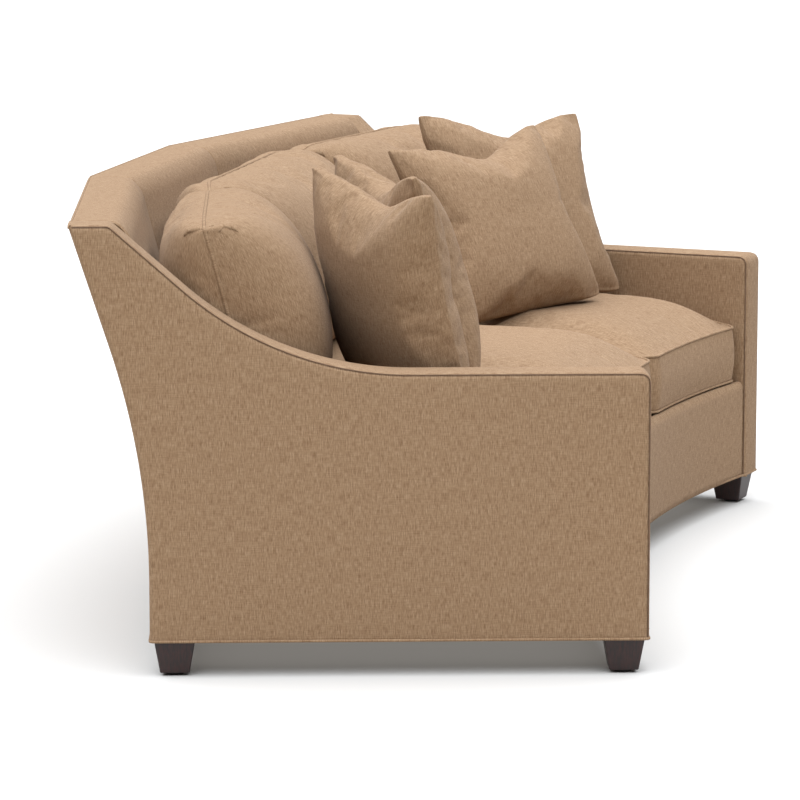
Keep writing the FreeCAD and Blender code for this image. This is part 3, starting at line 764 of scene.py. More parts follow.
class Workshop:
    """Holds the finishes and the welt trees, and ties each finished piece to the frame."""

    def __init__(self, frame: dict) -> None:
        """Build every finish once and put the hidden ones on the frame's own nodes."""
        self.linen = LinenWeave().build()
        self.finishes = {slot: finish.build() for slot, finish in HIDDEN_FINISHES.items()}
        slots = {part["node"]: part["material_slot"] for part in frame["record"]["subparts"]}
        for node, piece in frame["nodes"].items():
            finish = self.finishes.get(slots[node], self.linen)
            for holder in piece.material_slots:
                holder.material = finish
        self.welts = WeltTree("welt_cord", self.linen)
        # This tree lays dark cord of painted shade along the arm seams.
        self.seams = WeltTree("seam_thread", self.finishes["seam_thread"])

    def hand_over(self, piece: Piece, body: str, slot: str, node: str | None = None,
                  fill: float | None = None) -> None:
        """Give a piece its finish by its slot, name it for the node that it stands for, hide that node and
        tie it to its body.

        Args:
            piece: the finished object.
            body: the body that it rides on.
            slot: the record's material slot.
            node: the node that it stands for, if any.
            fill: how tightly it is padded, if it is; not used.
        """
        if not piece.data.materials:
            piece.data.materials.append(self.finishes.get(slot, self.linen))
        if node is not None:
            piece.name = "dressed_" + node
            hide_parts(node)
        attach(piece, body)
        LOG.info("%s rides on %s, %d faces", piece.name, body, len(piece.data.polygons))

    def dress(self, name: str, side: Side, cover: Sketch, points: Array, rings: Sequence[Array], slot: str,
              fill: float, welt_radius: float = 0.0) -> None:
        """Make a filled cushion that stands for its node and rides on its own body, with its welts.

        Args:
            name: the name of the cushion, its node and its body.
            side: the side that it is for.
            cover: the sewn cover.
            points: the points of the filled cover.
            rings: vertex numbers round each sewn edge, which stays sharp.
            slot: the record's material slot.
            fill: how tightly it is padded.
            welt_radius: the radius of the welts along the sewn edges, if it has any.
        """
        piece = new_object(name, cover.mesh(name, side, points))
        sewn = {frozenset(pair) for ring in rings for pair in zip(ring.tolist(), np.roll(ring, -1).tolist())}
        sharp = [float(frozenset(edge.vertices) in sewn) for edge in piece.data.edges]
        piece.data.attributes.new("crease_edge", "FLOAT", "EDGE").data.foreach_set("value", sharp)
        assign(piece.modifiers.new("smooth", "SUBSURF"), levels=1, render_levels=1)
        self.hand_over(piece, name, slot, name, fill)
        if welt_radius:
            lines = [side.mirror(points[ring]) for ring in rings]
            self.hand_over(self.welts.cord(name + "_welt", lines, welt_radius), name, slot)


@dataclass
class Upholstery:
    """The fixed covers: arms, boxing, outside and inside back, front border and base welt."""

    shop: Workshop
    body: str = "frame"
    slot: str = "body_fabric"
    fill: float = 0.3
    cloth: float = 0.003
    step: float = 0.014
    boxing_fineness: float = 0.6
    pad_tuck: float = 0.006
    border_roll: float = 0.013
    border_rise: float = 0.009
    border_tuck: float = 0.002
    border_rows: int = 15
    welt_radius: float = 0.0030
    welt_turn: float = 0.010
    welt_points: int = 61
    # Radius, spacing and reach of the dark cord of painted seam shade.
    thread_radius: float = 0.0012
    thread_step: float = 0.006
    thread_end: float = 0.997

    def cover(self, sketch: Sketch, name: str, side: Side = Side.RIGHT) -> None:
        """Make a cover that stands for its node, with the cloth's thickness inwards, and hand it over."""
        piece = new_object(name, sketch.mesh(name, side))
        assign(piece.modifiers.new("cloth_thickness", "SOLIDIFY"), thickness=self.cloth, offset=-1.0)
        self.shop.hand_over(piece, self.body, self.slot, name, self.fill)

    def arm_panel(self, u: float, outward: float) -> Sketch:
        """Return the flat panel of an arm.

        Args:
            u: the plane of the panel.
            outward: the sign of u on the panel's outer side.

        Returns:
            A sketch of the right-hand panel.
        """
        edge = PLAN.arm_edge(ROLL.dip)
        rear = PLAN.back_edge() - np.array([ROLL.dip, 0.0])
        left = resampled(edge[:PLAN.corner_point + 1], self.step)
        top = resampled(edge[PLAN.corner_point:], self.step)
        share = (left[:, 1] - PLAN.base) / (left[-1, 1] - PLAN.base)
        heights = PLAN.base + share * (top[-1, 1] - PLAN.base)
        right = stacked(np.interp(heights, rear[:, 1], rear[:, 0]), heights)
        foot = (top[:, 0] - top[0, 0]) / (top[-1, 0] - top[0, 0])
        bottom = stacked(left[0, 0] + foot * (right[0, 0] - left[0, 0]), PLAN.base)
        flat = coons(left, right, bottom, top, share, foot)
        border = np.vstack([edge, rear[::-1], edge[:1]])
        relief = ROLL.relief(line_distance(flat, border))
        grid = PLAN.wing(u + outward * relief, flat[..., 0], flat[..., 1])
        return Sketch.sheet(grid, flat, flip=outward < 0)

    def arm_boxing(self) -> Sketch:
        """Return the strip that runs up the front, over the arm and scoop to the top of the back."""
        rows = resampled(PLAN.arm_edge(0.0), self.step * self.boxing_fineness)
        width = PLAN.arm_width - 2 * ROLL.dip
        across = edge_shares(width, self.step) * width
        v, z = raised(rows, ROLL.relief(np.minimum(across, width - across)))
        u = PLAN.wing_length - ROLL.dip - across
        return Sketch.sheet(PLAN.wing(u, v, z), stacked(u, lengths(rows)[:, None]), flip=True)

    def facet(self, line: Array, end: float | None = None) -> Sketch:
        """Return one flat facet of the back, from a mitre to the arm or to the other mitre.

        Args:
            line: the (v, z) line that the facet follows, with its outer side on the right.
            end: u where a wing's facet ends, or None for the centre facet.

        Returns:
            A sketch of the facet.
        """
        rows = resampled(line, self.step)
        run = lengths(rows)
        low = -rows[:, :1] * PLAN.mitre_slope - (PLAN.centre_half if end is None else 0.0)
        high = -low if end is None else np.full_like(low, end)
        across = low + (high - low) * edge_shares(float(np.mean(high - low)), self.step)
        seam = np.minimum(run, run[-1] - run)[:, None]
        mitre = across - low
        if end is None:
            mitre = np.minimum(mitre, high - across)
        else:
            seam = np.minimum(seam, high - across)
        relief = np.minimum(ROLL.relief(seam), ROLL.relief(mitre, ROLL.flush))
        v, z = raised(rows, -relief)
        if end is None:
            grid = stacked(across, PLAN.shift + v, z)
        else:
            grid = PLAN.wing(across, v, z)
        return Sketch.sheet(grid, stacked(across, run[:, None]), flip=True)

    def front_border(self) -> Sketch:
        """Return the border under the seat, rolled back over the front rail."""
        turns = np.linspace(0.0, math.pi, self.border_rows)
        low = PLAN.deck_top - np.where(turns < math.pi / 2, self.border_roll, self.border_tuck)
        peak = PLAN.deck_top + self.border_rise
        bend = stacked(self.border_roll * (1 - np.cos(turns)), low + (peak - low) * np.sin(turns))
        upright = np.linspace(PLAN.base, bend[0, 1], self.border_rows + 1)[:-1]
        profile = np.vstack([stacked(0.0, upright), bend])
        span = math.radians(2 * PLAN.arc_limit) * PLAN.front_radius
        shares = edge_shares(span, self.step)
        upright_share = np.clip(1 - profile[:, :1] / self.border_roll, 0.0, 1.0)
        relief = ROLL.relief(nearer_end(shares, span)) * upright_share
        radius = PLAN.front_radius + profile[:, :1] - relief
        plan = PLAN.arc((2 * shares - 1) * PLAN.arc_limit, radius)
        grid = joined(plan, np.broadcast_to(profile[:, 1:], radius.shape))
        return Sketch.sheet(grid, stacked(shares * span, lengths(profile)[:, None]))

    def base_line(self) -> Array:
        """Return the closed line of the welt round the foot of the covers."""
        z = PLAN.base + self.welt_radius
        front = -PLAN.arm_length
        corners = ((0.0, 0.0), (PLAN.wing_length, 0.0), (PLAN.wing_length, front), (PLAN.inside_arm, front))
        right = np.array([PLAN.wing(u, v, z) for u, v in corners])
        angles = np.linspace(PLAN.arc_limit, -PLAN.arc_limit, self.welt_points)
        arc = joined(PLAN.front_line(angles), np.full_like(angles, z))
        return soft_corners(np.vstack([right, arc, Side.LEFT.mirror(right[::-1])]), self.welt_turn)

    def arm_seams(self, side: Side) -> list[Array]:
        """Return the two seam lines between an arm's panels and its boxing, for the dark cord of painted
        shade in their grooves.
        """
        inset = ROLL.dip - self.thread_radius
        line = PLAN.arm_edge(inset)
        count = int(lengths(line)[-1] / self.thread_step)
        line = along(line, np.linspace(0.0, self.thread_end, count))
        planes = (PLAN.wing_length - inset, PLAN.inside_arm + inset)
        return [side.mirror(PLAN.wing(u, line[:, 0], line[:, 1])) for u in planes]

    def build(self) -> None:
        """Build every fixed cover and hand it over."""
        rear = PLAN.back_edge()
        inside = PLAN.inside_edge()
        covers = {
            "outside_arm_cover_": self.arm_panel(PLAN.wing_length, 1.0),
            "inside_arm_cover_": self.arm_panel(PLAN.inside_arm, -1.0),
            "arm_boxing_": self.arm_boxing(),
            "outside_back_cover_": self.facet(rear, PLAN.wing_length - ROLL.dip),
            "inside_back_pad_": self.facet(inside, PLAN.inside_arm + self.pad_tuck),
        }
        for side in Side:
            for stem, sketch in covers.items():
                self.cover(sketch, stem + side.tag, side)
            # Dark cord of painted shade along the grooves of the arm's seams.
            name = "arm_seam_" + side.tag
            seam = self.shop.seams.cord(name, self.arm_seams(side), self.thread_radius, closed=False)
            self.shop.hand_over(seam, self.body, self.slot)
        self.cover(self.facet(rear), "outside_back_cover_centre")
        self.cover(self.facet(inside), "inside_back_pad_centre")
        self.cover(self.front_border(), "front_border_cover")
        welt = self.shop.welts.cord("base_welt", [self.base_line()], self.welt_radius)
        self.shop.hand_over(welt, self.body, self.slot)


@dataclass
class Legs:
    """Four tapered square corner legs with eased edges."""

    shop: Workshop
    top: float = 0.084
    foot: float = 0.061
    inset_across: float = 0.047
    inset_along: float = 0.051
    glide: float = 0.006
    ease: float = 0.0035
    ease_profile: float = 0.6

    def leg(self, name: str, side: Side, v: float) -> Piece:
        """Return one leg at its place on a wing."""
        work = bmesh.new()
        middle = PLAN.wing_length - self.inset_across
        rings = []
        for half, z in ((self.foot / 2, self.glide), (self.top / 2, PLAN.base)):
            corners = [(-half, -half), (half, -half), (half, half), (-half, half)]
            places = [side.mirror(PLAN.wing(middle + du, v + dv, z)) for du, dv in corners]
            rings.append([work.verts.new(place) for place in places])
        for index in range(4):
            after = (index + 1) % 4
            work.faces.new((rings[0][index], rings[0][after], rings[1][after], rings[1][index]))
        work.faces.new(rings[0][::-1])
        work.faces.new(rings[1])
        edges = [edge for edge in work.edges if not all(vert in rings[1] for vert in edge.verts)]
        bmesh.ops.bevel(work, geom=edges, offset=self.ease, segments=3, profile=self.ease_profile,
                        affect="EDGES")
        bmesh.ops.recalc_face_normals(work, faces=work.faces)
        mesh = bpy.data.meshes.new(name)
        work.to_mesh(mesh)
        work.free()
        return new_object(name, mesh)

    def build(self) -> None:
        """Build the four legs and hand them over."""
        places = {"front_leg_": self.inset_along - PLAN.arm_length, "rear_leg_": -self.inset_along}
        for side in Side:
            for stem, v in places.items():
                name = stem + side.tag
                self.shop.hand_over(self.leg(name, side, v), "frame", "leg_wood", name)


@dataclass(frozen=True)
class Stuffing:
    """A cloth simulation that fills a sewn cover from inside, with gravity off."""

    pressure: float
    slack: float
    cap: float
    frames: int = 14
    quality: int = 4
    tension: float = 30.0
    shear: float = 10.0
    bending: float = 0.35

    def fill(self, sketch: Sketch, pinned: Array) -> Array:
        """Args:
            sketch: the sewn cover.
            pinned: vertex numbers that the seams hold still.

        Returns:
            The new points, none further than the cap from where it was drawn.
        """
        drawn = sketch.all_points()
        scene = bpy.context.scene
        work = new_object("stuffing", sketch.mesh("stuffing"))
        group = work.vertex_groups.new(name="seams")
        group.add(pinned.tolist(), 1.0, "REPLACE")
        modifier = work.modifiers.new("filling", "CLOTH")
        assign(modifier.settings, quality=self.quality, tension_stiffness=self.tension,
               compression_stiffness=self.tension, shear_stiffness=self.shear,
               bending_stiffness=self.bending, shrink_min=-self.slack, use_pressure=True,
               uniform_pressure_force=self.pressure, vertex_group_mass=group.name)
        modifier.settings.effector_weights.gravity = 0.0
        assign(modifier.point_cache, frame_start=1, frame_end=self.frames)
        for frame in range(1, self.frames + 1):
            scene.frame_set(frame)
        filled = work.evaluated_get(bpy.context.evaluated_depsgraph_get()).data
        points = np.empty(len(drawn) * 3, dtype=np.float32)
        filled.vertices.foreach_get("co", points)
        scene.frame_set(1)
        bpy.data.objects.remove(work)
        move = points.reshape(-1, 3) - drawn
        length = np.linalg.norm(move, axis=1)[:, None]
        return drawn + move * np.minimum(1.0, self.cap / np.maximum(length, TINY))


class CushionPlace(Enum):
    """The three places along the seat; the value says whether it is the centre one."""

    SIDE = False
    CENTRE = True

    def names(self, stem: str) -> list[tuple[str, Side]]:
        """Return each piece name of this place with the side that it is made for."""
        if self.value:
            return [(stem + "_centre", Side.RIGHT)]
        return [(stem + "_" + side.tag, side) for side in Side]

    def lines(self, shares: Array, v_rear: float) -> tuple[Array, Array]:
        """Return plan points on the front arc and at the rear, from the left end to the right end.

        Args:
            shares: places across the cushion, from 0 to 1.
            v_rear: the back line that the rear points lie on.

        Returns:
            Front points and rear points.
        """
        gap = math.degrees(PLAN.seam_gap / PLAN.front_radius)
        if self.value:
            angle = (PLAN.seam_angle - gap) * (2 * shares - 1)
            return PLAN.front_line(angle), PLAN.back_line(angle, v_rear)
        start = np.array([PLAN.seam_angle + gap])
        edge = PLAN.inside_arm - PLAN.seam_gap
        first = PLAN.front_line(start)
        last = PLAN.wing(edge, PLAN.front_reveal - PLAN.arm_length, 0.0)[:2]
        chord = first + (last - first) * shares[:, None]
        angle = np.degrees(np.arctan2(chord[:, 0], chord[:, 1] - PLAN.arc_centre))
        rear_first = PLAN.back_line(start, v_rear)
        rear_last = PLAN.wing(edge, v_rear, 0.0)[:2]
        return PLAN.front_line(angle), rear_first + (rear_last - rear_first) * shares[:, None]


@dataclass
class SeatCushions:
    """Three box cushions with a crowned top, drawn-back front corners and two welts each."""

    shop: Workshop
    foot_gap: float = 0.0006
    foot_welt: float = 0.322
    foot_roll: float = 0.012
    welt: float = 0.457
    rise: float = 0.071
    roll: float = 0.095
    roll_power: float = 1.5
    side_rise: float = 0.42
    side_roll: float = 0.055
    rear_gap: float = 0.012
    rear_drop: float = 0.012
    rear_drop_start: float = 0.52
    rear_drop_run: float = 0.1
    setback: float = 0.012
    corner_setback: float = 0.042
    corner_run: float = 0.036
    front_bulge: float = 0.011
    front_bulge_power: float = 0.35
    side_bulge: float = 0.001
    row_step: float = 0.021
    band_rows: int = 9
    welt_radius: float = 0.0031
    fill: float = 0.85
    stuffing: Stuffing = Stuffing(pressure=3.0, slack=0.012, cap=0.012)

    def sketch(self, place: CushionPlace) -> tuple[Sketch, Array, Array]:
        """Return a cushion's cover with the rings of its top and bottom welts."""
        v_rear = PLAN.inside(PLAN.deck_top) - self.rear_gap
        shares = edge_shares(CUSHION_WIDTH, CUSHION_STEP, SEAT_ROWS)
        front, rear = place.lines(shares, v_rear)
        depth = np.linalg.norm(rear - front, axis=1)
        heading = (rear - front) / depth[:, None]
        width = np.linalg.norm(front[-1] - front[0])
        ends = nearer_end(shares, width)
        corner = np.clip(1 - ends / self.corner_run, 0.0, 1.0)
        setback = self.setback + (self.corner_setback - self.setback) * corner
        place_along = setback + (depth - setback) * edge_shares(1.0, self.row_step, SEAT_ROWS)[:, None]
        plan = front + heading * place_along[..., None]
        from_front = place_along - setback
        crown = 1 - np.exp(-(from_front / self.roll) ** self.roll_power)
        side = self.side_rise + (1 - self.side_rise) * (1 - np.exp(-(ends / self.side_roll) ** 2))
        sag = self.rear_drop * np.clip((from_front - self.rear_drop_start) / self.rear_drop_run, 0.0, 1.0)
        top_z = self.welt + (self.rise - sag) * crown * side
        rim_gap = np.minimum(np.minimum(from_front, ends), depth - place_along)
        foot = PLAN.deck_top + self.foot_gap
        low_z = foot + (self.foot_welt - foot) * np.exp(-(rim_gap / self.foot_roll) ** 2)
        uv = stacked(shares * width, from_front + self.welt)
        sketch = Sketch()
        top = rim(sketch.add(joined(plan, top_z), uv))
        low = rim(sketch.add(joined(plan, low_z), uv, flip=True))
        self.add_boxing(sketch, low, top, plan.shape[:2])
        return sketch, top, low

    def add_boxing(self, sketch: Sketch, low: Array, top: Array, shape: tuple[int, int]) -> None:
        """Sew the upright band between the two rings, bulged most at the front.

        Args:
            sketch: the cover with its top and bottom panels.
            low: vertex numbers of the lower ring.
            top: vertex numbers of the upper ring.
            shape: the rows and columns of the panels.
        """
        rows, columns = shape
        points = sketch.all_points()
        rise = np.linspace(0.0, 1.0, self.band_rows)[1:-1, None, None]
        lower = points[low]
        upper = points[top]
        ahead = np.roll(lower, -1, axis=0)[:, :2] - np.roll(lower, 1, axis=0)[:, :2]
        out = stacked(ahead[:, 1], -ahead[:, 0])
        out /= np.maximum(np.linalg.norm(out, axis=1), TINY)[:, None]
        bulge = np.full(len(low), self.side_bulge)
        bulge[1:columns - 1] = self.front_bulge
        bulge[:columns] *= np.sin(np.linspace(0.0, math.pi, columns)) ** self.front_bulge_power
        bulge[columns - 1 + rows:len(top) - rows] = 0.0
        band = lower + (upper - lower) * rise
        band[..., :2] += out * bulge[:, None] * np.sin(rise * math.pi)
        numbers = np.vstack([low, sketch.add_points(band), top])
        loop = lengths(np.vstack([lower, lower[:1]]))
        heights = np.concatenate([lower[None], band, upper[None]])[..., 2]
        heights = np.hstack([heights, heights[:, :1]])
        sketch.quads(numbers, stacked(loop, heights), closed=True)

    def build(self) -> None:
        """Build the three seat cushions with their welts and hand them over."""
        for place in CushionPlace:
            sketch, top, low = self.sketch(place)
            points = sketch.all_points()
            # Only the crown rises: the sides stay clear of the arms when a cushion lifts out.
            points[:, 2] = self.stuffing.fill(sketch, np.concatenate([top, low]))[:, 2]
            for name, side in place.names("seat_cushion"):
                self.shop.dress(name, side, sketch, points, (top, low), "cushion_fabric", self.fill,
                                self.welt_radius)


@dataclass
class BackCushions:
    """Three knife-edged back cushions with a welt all round and pleated top corners.

    The bends of a face are given as (forward of the welt, below the top). The lines of a fold are given
    as (out from its crest, off the cover).
    """

    shop: Workshop
    foot: float = 0.5156
    height: float = 0.430
    end_drop: float = 0.014
    rear: float = 0.075
    front: float = 0.357
    welt: float = 0.115
    welt_foot: float = 0.228
    front_bends: tuple = ((0.0, 0.014), (0.090, -0.030), (0.235, 0.045), (0.258, 0.300))
    rear_bends: tuple = ((0.0, 0.014), (-0.040, -0.018), (-0.085, 0.020), (-0.085, 0.120))
    bend_points: int = 45
    face_points: int = 90
    softening: int = 25
    rows: int = 52
    row_power: float = 0.9
    end_power: float = 7.0
    corner_pull: float = 0.007
    corner_reach: float = 0.050
    pleat_length: float = 0.068
    pleat_bow: float = 0.013
    pleat_power: float = 0.6
    pleat_points: int = 11
    pleat_columns: int = 4
    fold_lines: tuple = ((-0.010, 0.0003), (0.0, 0.0032), (0.0007, -0.0015))
    fold_weft: tuple = (0.0, 0.010, 0.012)
    seam_inset: float = 0.006
    welt_radius: float = 0.0038
    slot: str = "cushion_fabric"
    fill: float = 0.7
    stuffing: Stuffing = Stuffing(pressure=2.5, slack=0.015, cap=0.014)

    def profile(self, full: float, forward: bool) -> Array:
        """Return the (forward, z) line of one face at a section, from the foot of the welt to its top.

        Args:
            full: how full the cushion is at the section, from 0 to 1.
            forward: whether the face is the front one.

        Returns:
            Points along the face, with its lower corner rounded.
        """
        top = self.foot + self.height - self.end_drop * (1 - full)
        edge = self.front if forward else self.rear
        start = np.array([self.welt_foot, self.foot])
        corner = np.array([self.welt_foot + (edge - self.welt_foot) * full, self.foot])
        pull = np.array(self.front_bends if forward else self.rear_bends)
        middle = self.welt + (self.welt_foot - self.welt) * pull[:, 1] / self.height
        pull = stacked(middle + (self.welt + pull[:, 0] - middle) * full, top - pull[:, 1])
        share = np.linspace(0.0, 1.0, self.bend_points)[:, None]
        curve = ((1 - share) ** 3 * pull[0] + 3 * share * (1 - share) ** 2 * pull[1]
                 + 3 * share ** 2 * (1 - share) * pull[2] + share ** 3 * pull[3])
        line = along(np.vstack([start, corner, curve[::-1]]), np.linspace(0.0, 1.0, self.face_points))
        for _ in range(self.softening):
            line[1:-1] = (line[:-2] + 2 * line[1:-1] + line[2:]) / 4
        return along(line, np.linspace(0.0, 1.0, self.rows) ** self.row_power)

    def pleats(self, sketch: Sketch, points: Array, numbers: Array) -> Sketch:
        """Return the crescent folds where the top corners of both panels are tucked into the welt.

        Args:
            sketch: the cushion's cover.
            points: the points of the filled cover.
            numbers: vertex numbers of the front panel, whose last row is the top.

        Returns:
            A sketch of four folds, each with a lip that stands off the cover.
        """
        surface = BVHTree.FromPolygons([Vector(point) for point in points], sketch.faces)
        folds = Sketch()
        shares = np.linspace(0.0, 1.0, self.pleat_points)
        weave = stacked((shares * self.pleat_length)[:, None], np.array(self.fold_weft))
        for column, inner in ((0, self.pleat_columns), (-1, -1 - self.pleat_columns)):
            corner = points[numbers[-1, column]]
            inward = points[numbers[-1, inner]] - corner
            inward = np.array([inward[0], inward[1], 0.0]) / np.linalg.norm(inward[:2])
            ahead = np.array([inward[1], -inward[0], 0.0])
            over = -inward - np.array([0.0, 0.0, 1.0])
            for way in (1.0, -1.0):
                grid = np.empty((*weave.shape[:2], 3))
                for index, share in enumerate(shares):
                    taper = math.sin(math.pi * share) ** self.pleat_power
                    spot = corner + ahead * way * self.pleat_length * share + inward * self.pleat_bow * taper
                    for line, (slide, lift) in enumerate(self.fold_lines):
                        near, normal, _, _ = surface.find_nearest(Vector(spot + over * slide * taper))
                        grid[index, line] = np.array(near + normal * (lift * taper if lift > 0 else lift))
                folds.add(grid, weave, flip=(way > 0) == (column == 0))
        return folds

    def sketch(self, place: CushionPlace) -> tuple[Sketch, Array]:
        """Return a cushion's cover and the vertex numbers of its front panel."""
        shares = edge_shares(CUSHION_WIDTH, CUSHION_STEP, BACK_ROWS)
        front, rear = place.lines(shares, 0.0)
        heading = (front - rear) / np.linalg.norm(front - rear, axis=1)[:, None]
        full = (1 - np.abs(2 * shares - 1) ** self.end_power) ** 0.5
        width = np.linalg.norm(rear[-1] - rear[0])
        ends = nearer_end(shares, width)
        inward = np.sign(0.5 - shares)[:, None] * (rear[-1] - rear[0]) / width
        grids = []
        for forward in (True, False):
            section = np.stack([self.profile(value, forward) for value in full], axis=1)
            grid = joined(rear + heading * section[..., :1], section[..., 1])
            drop = self.foot + self.height - section[..., 1]
            near = np.exp(-(ends ** 2 + drop ** 2) / self.corner_reach ** 2)
            grid[..., :2] += near[..., None] * self.corner_pull * inward
            grid[..., 2] -= near * self.corner_pull
            grid[:, [0, -1], :2] += self.seam_inset * inward[[0, -1]]
            grids.append(grid)
        sketch = Sketch()
        return sketch, sketch.add_pair(*grids)

    def build(self) -> None:
        """Build the three back cushions with their welts and pleats and hand them over."""
        for place in CushionPlace:
            sketch, numbers = self.sketch(place)
            ring = rim(numbers)
            points = self.stuffing.fill(sketch, ring)
            folds = self.pleats(sketch, points, numbers)
            for name, side in place.names("back_cushion"):
                self.shop.dress(name, side, sketch, points, [ring], self.slot, self.fill, self.welt_radius)
                pleat = new_object(name + "_pleats", folds.mesh(name + "_pleats", side))
                self.shop.hand_over(pleat, name, self.slot)


@dataclass(frozen=True)
class PillowPose:
    """How one throw pillow stands, seen on the right-hand side, and how it is pressed out of shape.

    Attributes:
        yaw: turn about the upright axis, in degrees.
        lean: tilt towards the back, in degrees.
        roll: turn in its own plane, in degrees.
        dent_place: middle of the chopped dent, from -1 at the inner ear to 1 at the ear beside the arm.
        dent_depth: how far the dent lowers the top edge.
        slump: how far the ears have sunk.
        front_full: fullness of the front panel, less where another pillow leans on it.
        rear_full: fullness of the rear panel, less where it leans on something.
        settle: how far its middle lies off the middle of the node's box.
    """

    yaw: float
    lean: float
    roll: float
    dent_place: float
    dent_depth: float
    slump: float
    front_full: float = 1.0
    rear_full: float = 1.0
    settle: tuple[float, float, float] = (0.0, 0.0, 0.0)


PILLOW_POSES = {
    "rear_pillow_right": PillowPose(27.2, 24.6, -2.7, dent_place=0.04, dent_depth=0.040, slump=0.004,
                                    front_full=0.60, rear_full=0.82, settle=(0.0, 0.0, 0.003)),
    "front_pillow_right": PillowPose(23.0, 26.5, 3.6, dent_place=0.12, dent_depth=0.044, slump=0.022,
                                     rear_full=0.54, settle=(0.004, 0.014, -0.012)),
    "rear_pillow_left": PillowPose(27.3, 13.0, -1.6, dent_place=0.15, dent_depth=0.030, slump=0.014,
                                   front_full=0.70, rear_full=0.84, settle=(0.0, 0.0, 0.002)),
    "front_pillow_left": PillowPose(18.6, 17.4, 0.0, dent_place=0.10, dent_depth=0.034, slump=0.006,
                                    rear_full=0.68),
}


@dataclass
class ThrowPillows:
    """Four knife-edged throw pillows, two in each corner, with chopped tops."""

    shop: Workshop
    width: float = 0.536
    rise: float = 0.264
    drop: float = 0.239
    thickness: float = 0.170
    pull: float = 0.032
    foot_pull: float = 0.006
    ear_round: float = 0.048
    ear_power: int = 8
    dent_width: float = 0.36
    dent_reach: float = 0.25
    dent_swell: float = 0.22
    dent_pinch: float = 0.10
    crown_power: float = 2.4
    fullness: float = 0.46
    seam_inset: float = 0.0035
    rim_share: float = 0.999
    count: int = 46
    fill: float = 0.65
    stuffing: Stuffing = Stuffing(pressure=2.5, slack=0.03, cap=0.016, bending=0.15)

    def sketch(self, pose: PillowPose) -> tuple[Sketch, Array]:
        """Return a pillow's cover about its own centre, and the ring of its knife edge."""
        shares = 2 * edge_shares(1.0, 1.0 / self.count, PILLOW_ROWS) - 1
        x, z = np.meshgrid(shares, shares)
        ear = 1 - self.ear_round * np.abs(x * z) ** self.ear_power
        wide = x * ear * (self.width / 2 - self.pull * (1 - z ** 2))
        rise = self.rise - pose.slump - self.pull * (1 - x ** 2)
        high = z * ear * np.where(z > 0, rise, self.drop - self.foot_pull * (1 - x ** 2))
        dent = np.exp(-((x - pose.dent_place) / self.dent_width) ** 2)
        depth = np.clip((z + self.dent_reach) / (1 + self.dent_reach), 0.0, 1.0) ** 2
        high = high - pose.dent_depth * dent * depth
        wide = wide - np.sign(x) * self.seam_inset * (np.abs(x) > self.rim_share)
        high = high - np.sign(z) * self.seam_inset * (np.abs(z) > self.rim_share)
        plump = ((1 - np.abs(x) ** self.crown_power) * (1 - np.abs(z) ** self.crown_power)) ** self.fullness
        upper = np.clip(z, 0.0, 1.0)
        plump = plump * (1 + self.dent_swell * dent * upper - self.dent_pinch * dent * upper ** 4)
        plump = plump * self.thickness / 2
        sketch = Sketch()
        numbers = sketch.add_pair(stacked(wide, -plump * pose.front_full, high),
                                  stacked(wide, plump * pose.rear_full, high))
        return sketch, rim(numbers)

    def place(self, points: Array, node: str, side: Side) -> Array:
        """Turn a pillow as it stands, and set it where its node is, seen on the right-hand side."""
        pose = PILLOW_POSES[node]
        turn = Matrix.Rotation(-math.radians(pose.yaw + PLAN.wedge), 3, "Z")
        turn = turn @ Matrix.Rotation(-math.radians(pose.lean), 3, "X")
        turn = turn @ Matrix.Rotation(-math.radians(pose.roll), 3, "Y")
        low, high = (np.array(corner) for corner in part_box(node))
        return points @ np.array(turn).T + side.mirror((low + high) / 2) + np.array(pose.settle)

    def build(self) -> None:
        """Build the four pillows and hand them over."""
        for side in Side:
            for stem in ("rear_pillow_", "front_pillow_"):
                name = stem + side.tag
                sketch, ring = self.sketch(PILLOW_POSES[name])
                points = self.place(self.stuffing.fill(sketch, ring), name, side)
                self.shop.dress(name, side, sketch, points, [ring], "pillow_fabric", self.fill)


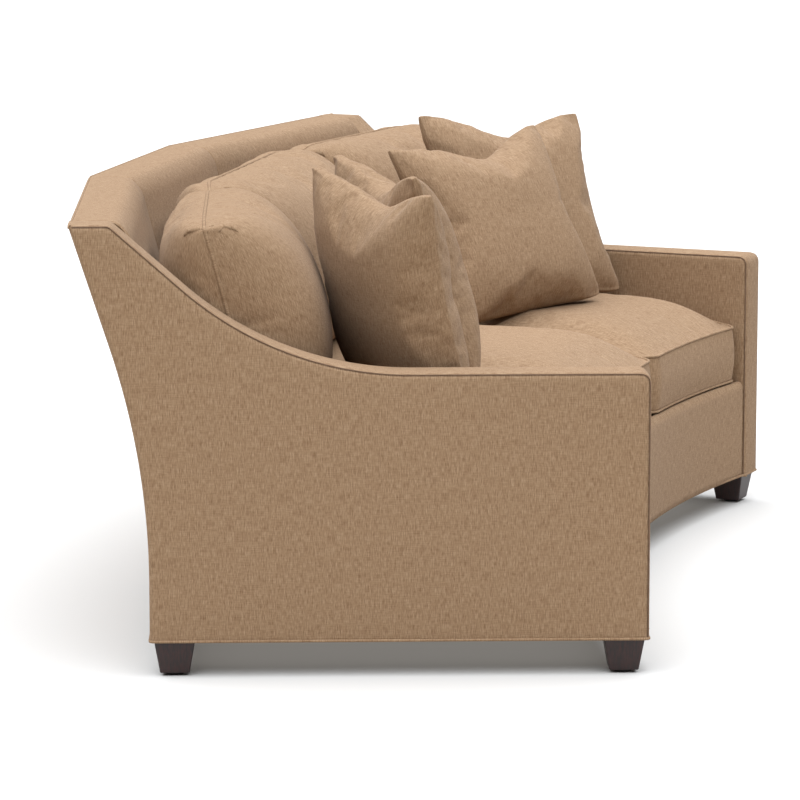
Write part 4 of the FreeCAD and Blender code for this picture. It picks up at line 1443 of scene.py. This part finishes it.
@dataclass
class Studio:
    """A plain pale floor, soft light and the camera of the photograph."""

    camera_place: tuple[float, float, float] = (-9.3293, -1.7887, 1.9252)
    yaw: float = 11.0908
    pitch: float = 9.1551
    lens: float = 186.0
    sensor: float = 36.0
    floor_half: float = 60.0
    floor_colour: tuple[float, float, float, float] = (0.58, 0.545, 0.50, 1.0)
    sun_strength: float = 7.8
    sun_colour: tuple[float, float, float] = (0.93, 1.0, 1.10)
    sun_spread: float = 100.0
    sun_from: tuple[float, float, float] = (-0.08, 0.03, 1.0)
    sky: tuple[float, float, float, float] = (1.0, 1.0, 1.0, 1.0)
    sky_fill: float = 0.12
    under_strength: float = 1.1
    under_margin: float = 0.05
    under_gap: float = 0.003

    def build(self) -> None:
        """Add the camera, the floor, the lights and the world."""
        scene = bpy.context.scene
        yaw = math.radians(self.yaw)
        pitch = math.radians(self.pitch)
        look = Vector((math.cos(yaw) * math.cos(pitch), math.sin(yaw) * math.cos(pitch), -math.sin(pitch)))
        lens = bpy.data.cameras.new("photo_camera")
        assign(lens, lens=self.lens, sensor_width=self.sensor)
        scene.camera = new_object("photo_camera", lens)
        scene.camera.location = self.camera_place
        scene.camera.rotation_euler = look.to_track_quat("-Z", "Y").to_euler()
        self.floor()
        self.overhead()
        self.under_fill()
        scene.world = self.surroundings()
        scene.view_settings.view_transform = "Standard"

    def surroundings(self) -> bpy.types.World:
        """Return a world that looks white past the floor's edge and lights the object only faintly."""
        world = bpy.data.worlds.new("studio")
        world.use_nodes = True
        tree = world.node_tree
        tree.nodes.clear()
        faint = add_node(tree, "ShaderNodeBackground", {"Color": self.sky, "Strength": self.sky_fill})
        bright = add_node(tree, "ShaderNodeBackground", {"Color": self.sky, "Strength": 1.0})
        seen = add_node(tree, "ShaderNodeLightPath").outputs["Is Camera Ray"]
        mixed = add_node(tree, "ShaderNodeMixShader", {0: seen, 1: faint.outputs[0], 2: bright.outputs[0]})
        add_node(tree, "ShaderNodeOutputWorld", {"Surface": mixed.outputs[0]})
        return world

    def floor(self) -> None:
        """Add the pale floor."""
        ends = np.array([-self.floor_half, self.floor_half])
        corners = stacked(ends, ends[:, None], 0.0)
        floor = new_object("studio_floor", Sketch.sheet(corners, corners[..., :2]).mesh("studio_floor"))
        material, tree, shader = new_material("pale_studio_floor")
        wire(tree, shader, {"Base Color": self.floor_colour, "Roughness": 0.9, "Specular IOR Level": 0.1})
        floor.data.materials.append(material)

    def overhead(self) -> None:
        """Add one wide soft light from above, a little from the camera's side."""
        light = bpy.data.lights.new("overhead_softbox", "SUN")
        assign(light, energy=self.sun_strength, color=self.sun_colour, angle=math.radians(self.sun_spread))
        lamp = new_object("overhead_softbox", light)
        lamp.rotation_euler = Vector(self.sun_from).to_track_quat("Z", "Y").to_euler()

    def under_fill(self) -> None:
        """Add weak light under each third of the seat, so that the floor between the legs is a soft grey."""
        margin = self.under_margin
        depth = PLAN.arm_length - 2 * margin
        centre_depth = depth - PLAN.front_bow
        centre_y = PLAN.wing(0.0, -centre_depth / 2 - margin, 0.0)[1]
        thirds = [(0.0, centre_y, 2 * PLAN.centre_half, centre_depth)]
        for side in Side:
            x, y, _ = side.mirror(PLAN.wing(PLAN.wing_length / 2, -PLAN.arm_length / 2, 0.0))
            thirds.append((x, y, PLAN.wing_length - 2 * margin, depth))
        for x, y, width, length in thirds:
            light = bpy.data.lights.new("under_fill", "AREA")
            assign(light, shape="RECTANGLE", size=width, size_y=length,
                   energy=self.under_strength * width * length)
            lamp = new_object("under_fill", light)
            lamp.location = (x, y, PLAN.base - self.under_gap)
            lamp.rotation_euler[2] = math.copysign(PLAN.turn, -x) if x else 0.0
            lamp.visible_camera = False


def main() -> None:
    """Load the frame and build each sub-assembly in order."""
    logging.basicConfig(level=logging.INFO, format="%(name)s: %(message)s")
    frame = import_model()
    Studio().build()
    shop = Workshop(frame)
    for maker in (Upholstery, Legs, SeatCushions, BackCushions, ThrowPillows):
        maker(shop).build()


if __name__ == "__main__":
    main()
